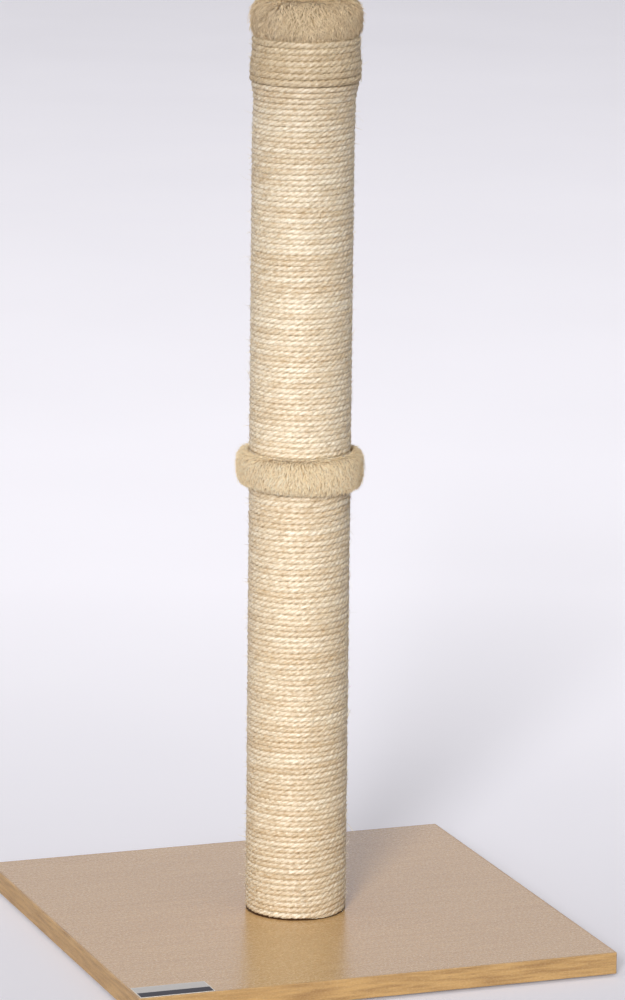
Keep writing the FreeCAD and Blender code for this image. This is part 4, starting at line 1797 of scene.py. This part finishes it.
@dataclass
class PlushRing:
    """Padded plush ring that hides the joint of the two tubes."""

    columns: int = 144
    lining_gap: float = 0.3 * MM
    rise: float = 1.8 * MM
    lean: tuple[float, float] = (-0.0147, 0.0054)
    fattening: tuple[float, float] = (0.94, -0.34)
    shoulder_middle: tuple[float, float] = (54.3 * MM, 8.8 * MM)
    shoulder_radii: tuple[float, float] = (6.3 * MM, 6.6 * MM)
    valley_angle: float = 118.0
    flank_crown: float = 0.9 * MM
    lip_height: float = 12 * MM
    pressure: float = 4.0
    most_swell: float = 1.0 * MM
    pile: Pile = field(default_factory=lambda: Pile(
        spacing=1.3 * MM, length=6.6 * MM, width=0.95 * MM, lift=0.3, swirl=0.32, seed=31,
        droop=0.35
    ))
    down: Pile = field(default_factory=lambda: Pile(
        spacing=1.9 * MM, length=5.0 * MM, width=0.3 * MM, lift=0.9, swirl=0.5, seed=32, flatness=1.0
    ))

    def build(self) -> list[bpy.types.Object]:
        """Makes the cover, swells it and grows its pile.

        Returns:
            The cover, its tufts and its hairs.
        """
        low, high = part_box("ring_cover")
        middle = (low.z + high.z) / 2 + self.rise
        cover = revolved("plush_ring", self.section(middle), self.columns)
        points = points_of(cover)
        points[:, 2] += (points[:, 2] - middle) * (points[:, :2] @ self.fattening)
        points[:, 2] += points[:, :2] @ self.lean
        move_points(cover, points)
        rope_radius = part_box("lower_rope_wrap")[1].x
        held = np.linalg.norm(points[:, :2], axis=1) < rope_radius
        puff_up(cover, held, self.pressure, self.most_swell)
        BackingFinish("plush_backing").dress(cover)
        settle(cover, "plush", "ring_cover", "ring_padding")
        tufts = self.pile.grow("plush_ring_pile", cover, held)
        hairs = self.down.grow("plush_ring_down", cover, held)
        HairFinish(
            "plush_pile",
            # root: painted shade deep in the ring's pile
            root=srgb(198, 160, 106),
            tip=srgb(253, 231, 190),
            odd=srgb(255, 249, 226),
        ).dress(tufts, hairs)
        for piece in (tufts, hairs):
            settle(piece, "plush")
        log.info("plush ring: %d tufts and hairs", count_strands(tufts, hairs))
        return [cover, tufts, hairs]

    def section(self, middle: float) -> np.ndarray:
        """Draws the cover's section.

        Args:
            middle: Level of the middle of the ring.

        Returns:
            Corners going round it.
        """
        radius, rise = self.shoulder_middle
        upper = arc((radius, rise), self.shoulder_radii, 0, self.valley_angle, 12)
        lower = [(r, -z) for r, z in upper[::-1]]
        flank_steps = np.linspace(-1, 1, 9)[1:-1]
        flank_radius = radius + self.shoulder_radii[0]
        flank = [(flank_radius + self.flank_crown * (1 - s * s), rise * s) for s in flank_steps]
        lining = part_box("upper_tube")[1].x + self.lining_gap
        inner = [(lining, self.lip_height * share) for share in (1, 0, -1)]
        corners = np.array(lower + flank + upper + inner)
        corners[:, 1] += middle
        return corners


@dataclass
class PlushCap:
    """Padded plush cap with a dimple, tied on by its skirt."""

    columns: int = 144
    roll_radius: float = 35.6 * MM
    roll_drop: float = 1.2 * MM
    roll_size: float = 16.5 * MM
    dimple_angle: float = 158.0
    washer_gap: float = 0.4 * MM
    hole_radius: float = 2.4 * MM
    flank_bulge: float = 1.2 * MM
    tuck_radius: float = 47.6 * MM
    tuck_depth: float = 1.3 * MM
    skirt_radius: float = 49.1 * MM
    hem_rise: float = 0.9 * MM
    lining_gap: float = 0.35 * MM
    flank_power: float = 1.9
    bulge_reach: float = 1.3
    held_margin: float = 0.5 * MM
    crown_spread: float = 3 * MM
    pressure: float = 4.0
    most_swell: float = 0.8 * MM
    pile: Pile = field(default_factory=lambda: Pile(
        spacing=1.35 * MM, length=10.0 * MM, width=1.05 * MM, lift=0.2, swirl=0.3, seed=41,
        droop=0.3
    ))
    down: Pile = field(default_factory=lambda: Pile(
        spacing=2.1 * MM, length=6.5 * MM, width=0.3 * MM, lift=0.8, swirl=0.5, seed=42, flatness=1.0
    ))
    crown: Pile = field(default_factory=lambda: Pile(
        spacing=1.2 * MM, length=17.0 * MM, width=1.05 * MM, lift=0.45, swirl=0.25, seed=43, inward=True
    ))

    def __post_init__(self) -> None:
        """Takes the levels that it hangs on from the construction pieces."""
        rim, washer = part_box("upper_tube")[1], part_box("cap_washer")
        self.roll_level = rim.z - self.roll_drop
        self.dimple_level = washer[0].z - self.washer_gap
        self.washer_clear = washer[1].x + self.washer_gap
        self.tuck_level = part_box("binding_turns")[1].z - self.tuck_depth
        self.skirt_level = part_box("cap_cover")[0].z + self.hem_rise
        self.lining_radius = rim.x + self.lining_gap
        self.lining_level = rim.z + self.lining_gap

    def build(self) -> list[bpy.types.Object]:
        """Makes the cover, swells it and grows its pile.

        Returns:
            The cover, its tufts and hairs, and the tufts over the washer.
        """
        cover = revolved("plush_cap", self.section(), self.columns)
        points = points_of(cover)
        radius, level = np.linalg.norm(points[:, :2], axis=1), points[:, 2]
        margin = self.held_margin
        lining = (radius < self.lining_radius + margin) & (level < self.lining_level + margin)
        held = lining | (level < self.tuck_level + margin) | (radius < self.washer_clear)
        puff_up(cover, held, self.pressure, self.most_swell)
        BackingFinish("plush_backing_cap").dress(cover)
        settle(cover, "plush", "cap_cover", "cap_padding")
        tufts = self.pile.grow("plush_cap_pile", cover, held)
        hairs = self.down.grow("plush_cap_down", cover, held)
        beside_washer = (radius > self.washer_clear - margin) & (level > self.dimple_level - margin)
        away = radius > self.roll_radius - self.roll_size + self.crown_spread
        tuft = self.crown.grow("plush_cap_crown", cover, ~beside_washer | away)
        HairFinish(
            "plush_cap_pile",
            # root: painted shade deep in the cap's pile
            root=srgb(176, 144, 100),
            tip=srgb(248, 226, 188),
            odd=srgb(200, 168, 120),
        ).dress(tufts, hairs, tuft)
        for piece in (tufts, hairs, tuft):
            settle(piece, "plush")
        log.info("plush cap: %d tufts and hairs", count_strands(tufts, hairs, tuft))
        return [cover, tufts, hairs, tuft]

    def section(self) -> np.ndarray:
        """Draws the cover's section from the dimple outwards and back along its lining.

        Returns:
            Corners going round it.
        """
        size = self.roll_size
        roll = arc((self.roll_radius, self.roll_level), (size, size), self.dimple_angle, 0, 22)
        equator = roll[-1]
        flank = []
        for share in np.linspace(0, 1, 9)[1:]:
            radius = equator[0] + (self.tuck_radius - equator[0]) * share**self.flank_power
            bulge = self.flank_bulge * math.sin(math.pi * min(1.0, share * self.bulge_reach))
            level = equator[1] + (self.tuck_level - equator[1]) * share
            flank.append((radius + bulge, level))
        spread, drop = self.skirt_radius - self.tuck_radius, self.skirt_level - self.tuck_level
        skirt = [
            (self.tuck_radius + spread * share**2, self.tuck_level + drop * share)
            for share in np.linspace(0, 1, 7)[1:]
        ]
        lining = [
            (self.lining_radius, self.skirt_level),
            (self.lining_radius, self.tuck_level),
            (self.lining_radius, self.lining_level),
            (self.hole_radius, self.lining_level),
        ]
        floor = [(self.hole_radius, self.dimple_level), (self.washer_clear, self.dimple_level)]
        return np.array(floor + roll + flank + skirt + lining)[::-1]


@dataclass(frozen=True)
class TopLean:
    """Slight lean of the post's soft top, as the photograph shows it."""

    reach: float = 120 * MM
    shift: tuple[float, float] = (2.1 * MM, -0.77 * MM)

    def bend(self, *pieces: bpy.types.Object) -> None:
        """Moves the higher points of pieces sideways.

        Args:
            pieces: Mesh objects round the top of the post.
        """
        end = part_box("binding_turns")[1].z
        for piece in pieces:
            points = points_of(piece)
            ease = eased(np.clip((points[:, 2] - end) / self.reach + 1, 0, 1))
            points[:, :2] += ease[:, None] * self.shift
            move_points(piece, points)


def report(part: str, pieces: Sequence[bpy.types.Object]) -> None:
    """Reports each piece of a sub-assembly and its number of faces."""
    for piece in pieces:
        log.info("%s: %s, %d faces", part, piece.name, len(piece.data.polygons))


def main() -> None:
    """Builds the studio and the sub-assemblies in order, and reports each piece."""
    logging.basicConfig(level=logging.INFO, format="%(name)s: %(message)s")
    Studio().build()
    ropes = PostRopes()
    report("board", Board().build())
    report("foot", FootShadeRing().build())
    report("fixings", Fixings().build())
    report("lower rope", ropes.lower().build())
    report("plush ring", PlushRing().build())
    soft_top = [*ropes.upper().build(), *ropes.binding().build(), *PlushCap().build()]
    TopLean().bend(*soft_top)
    report("soft top", soft_top)


if __name__ == "__main__":
    main()
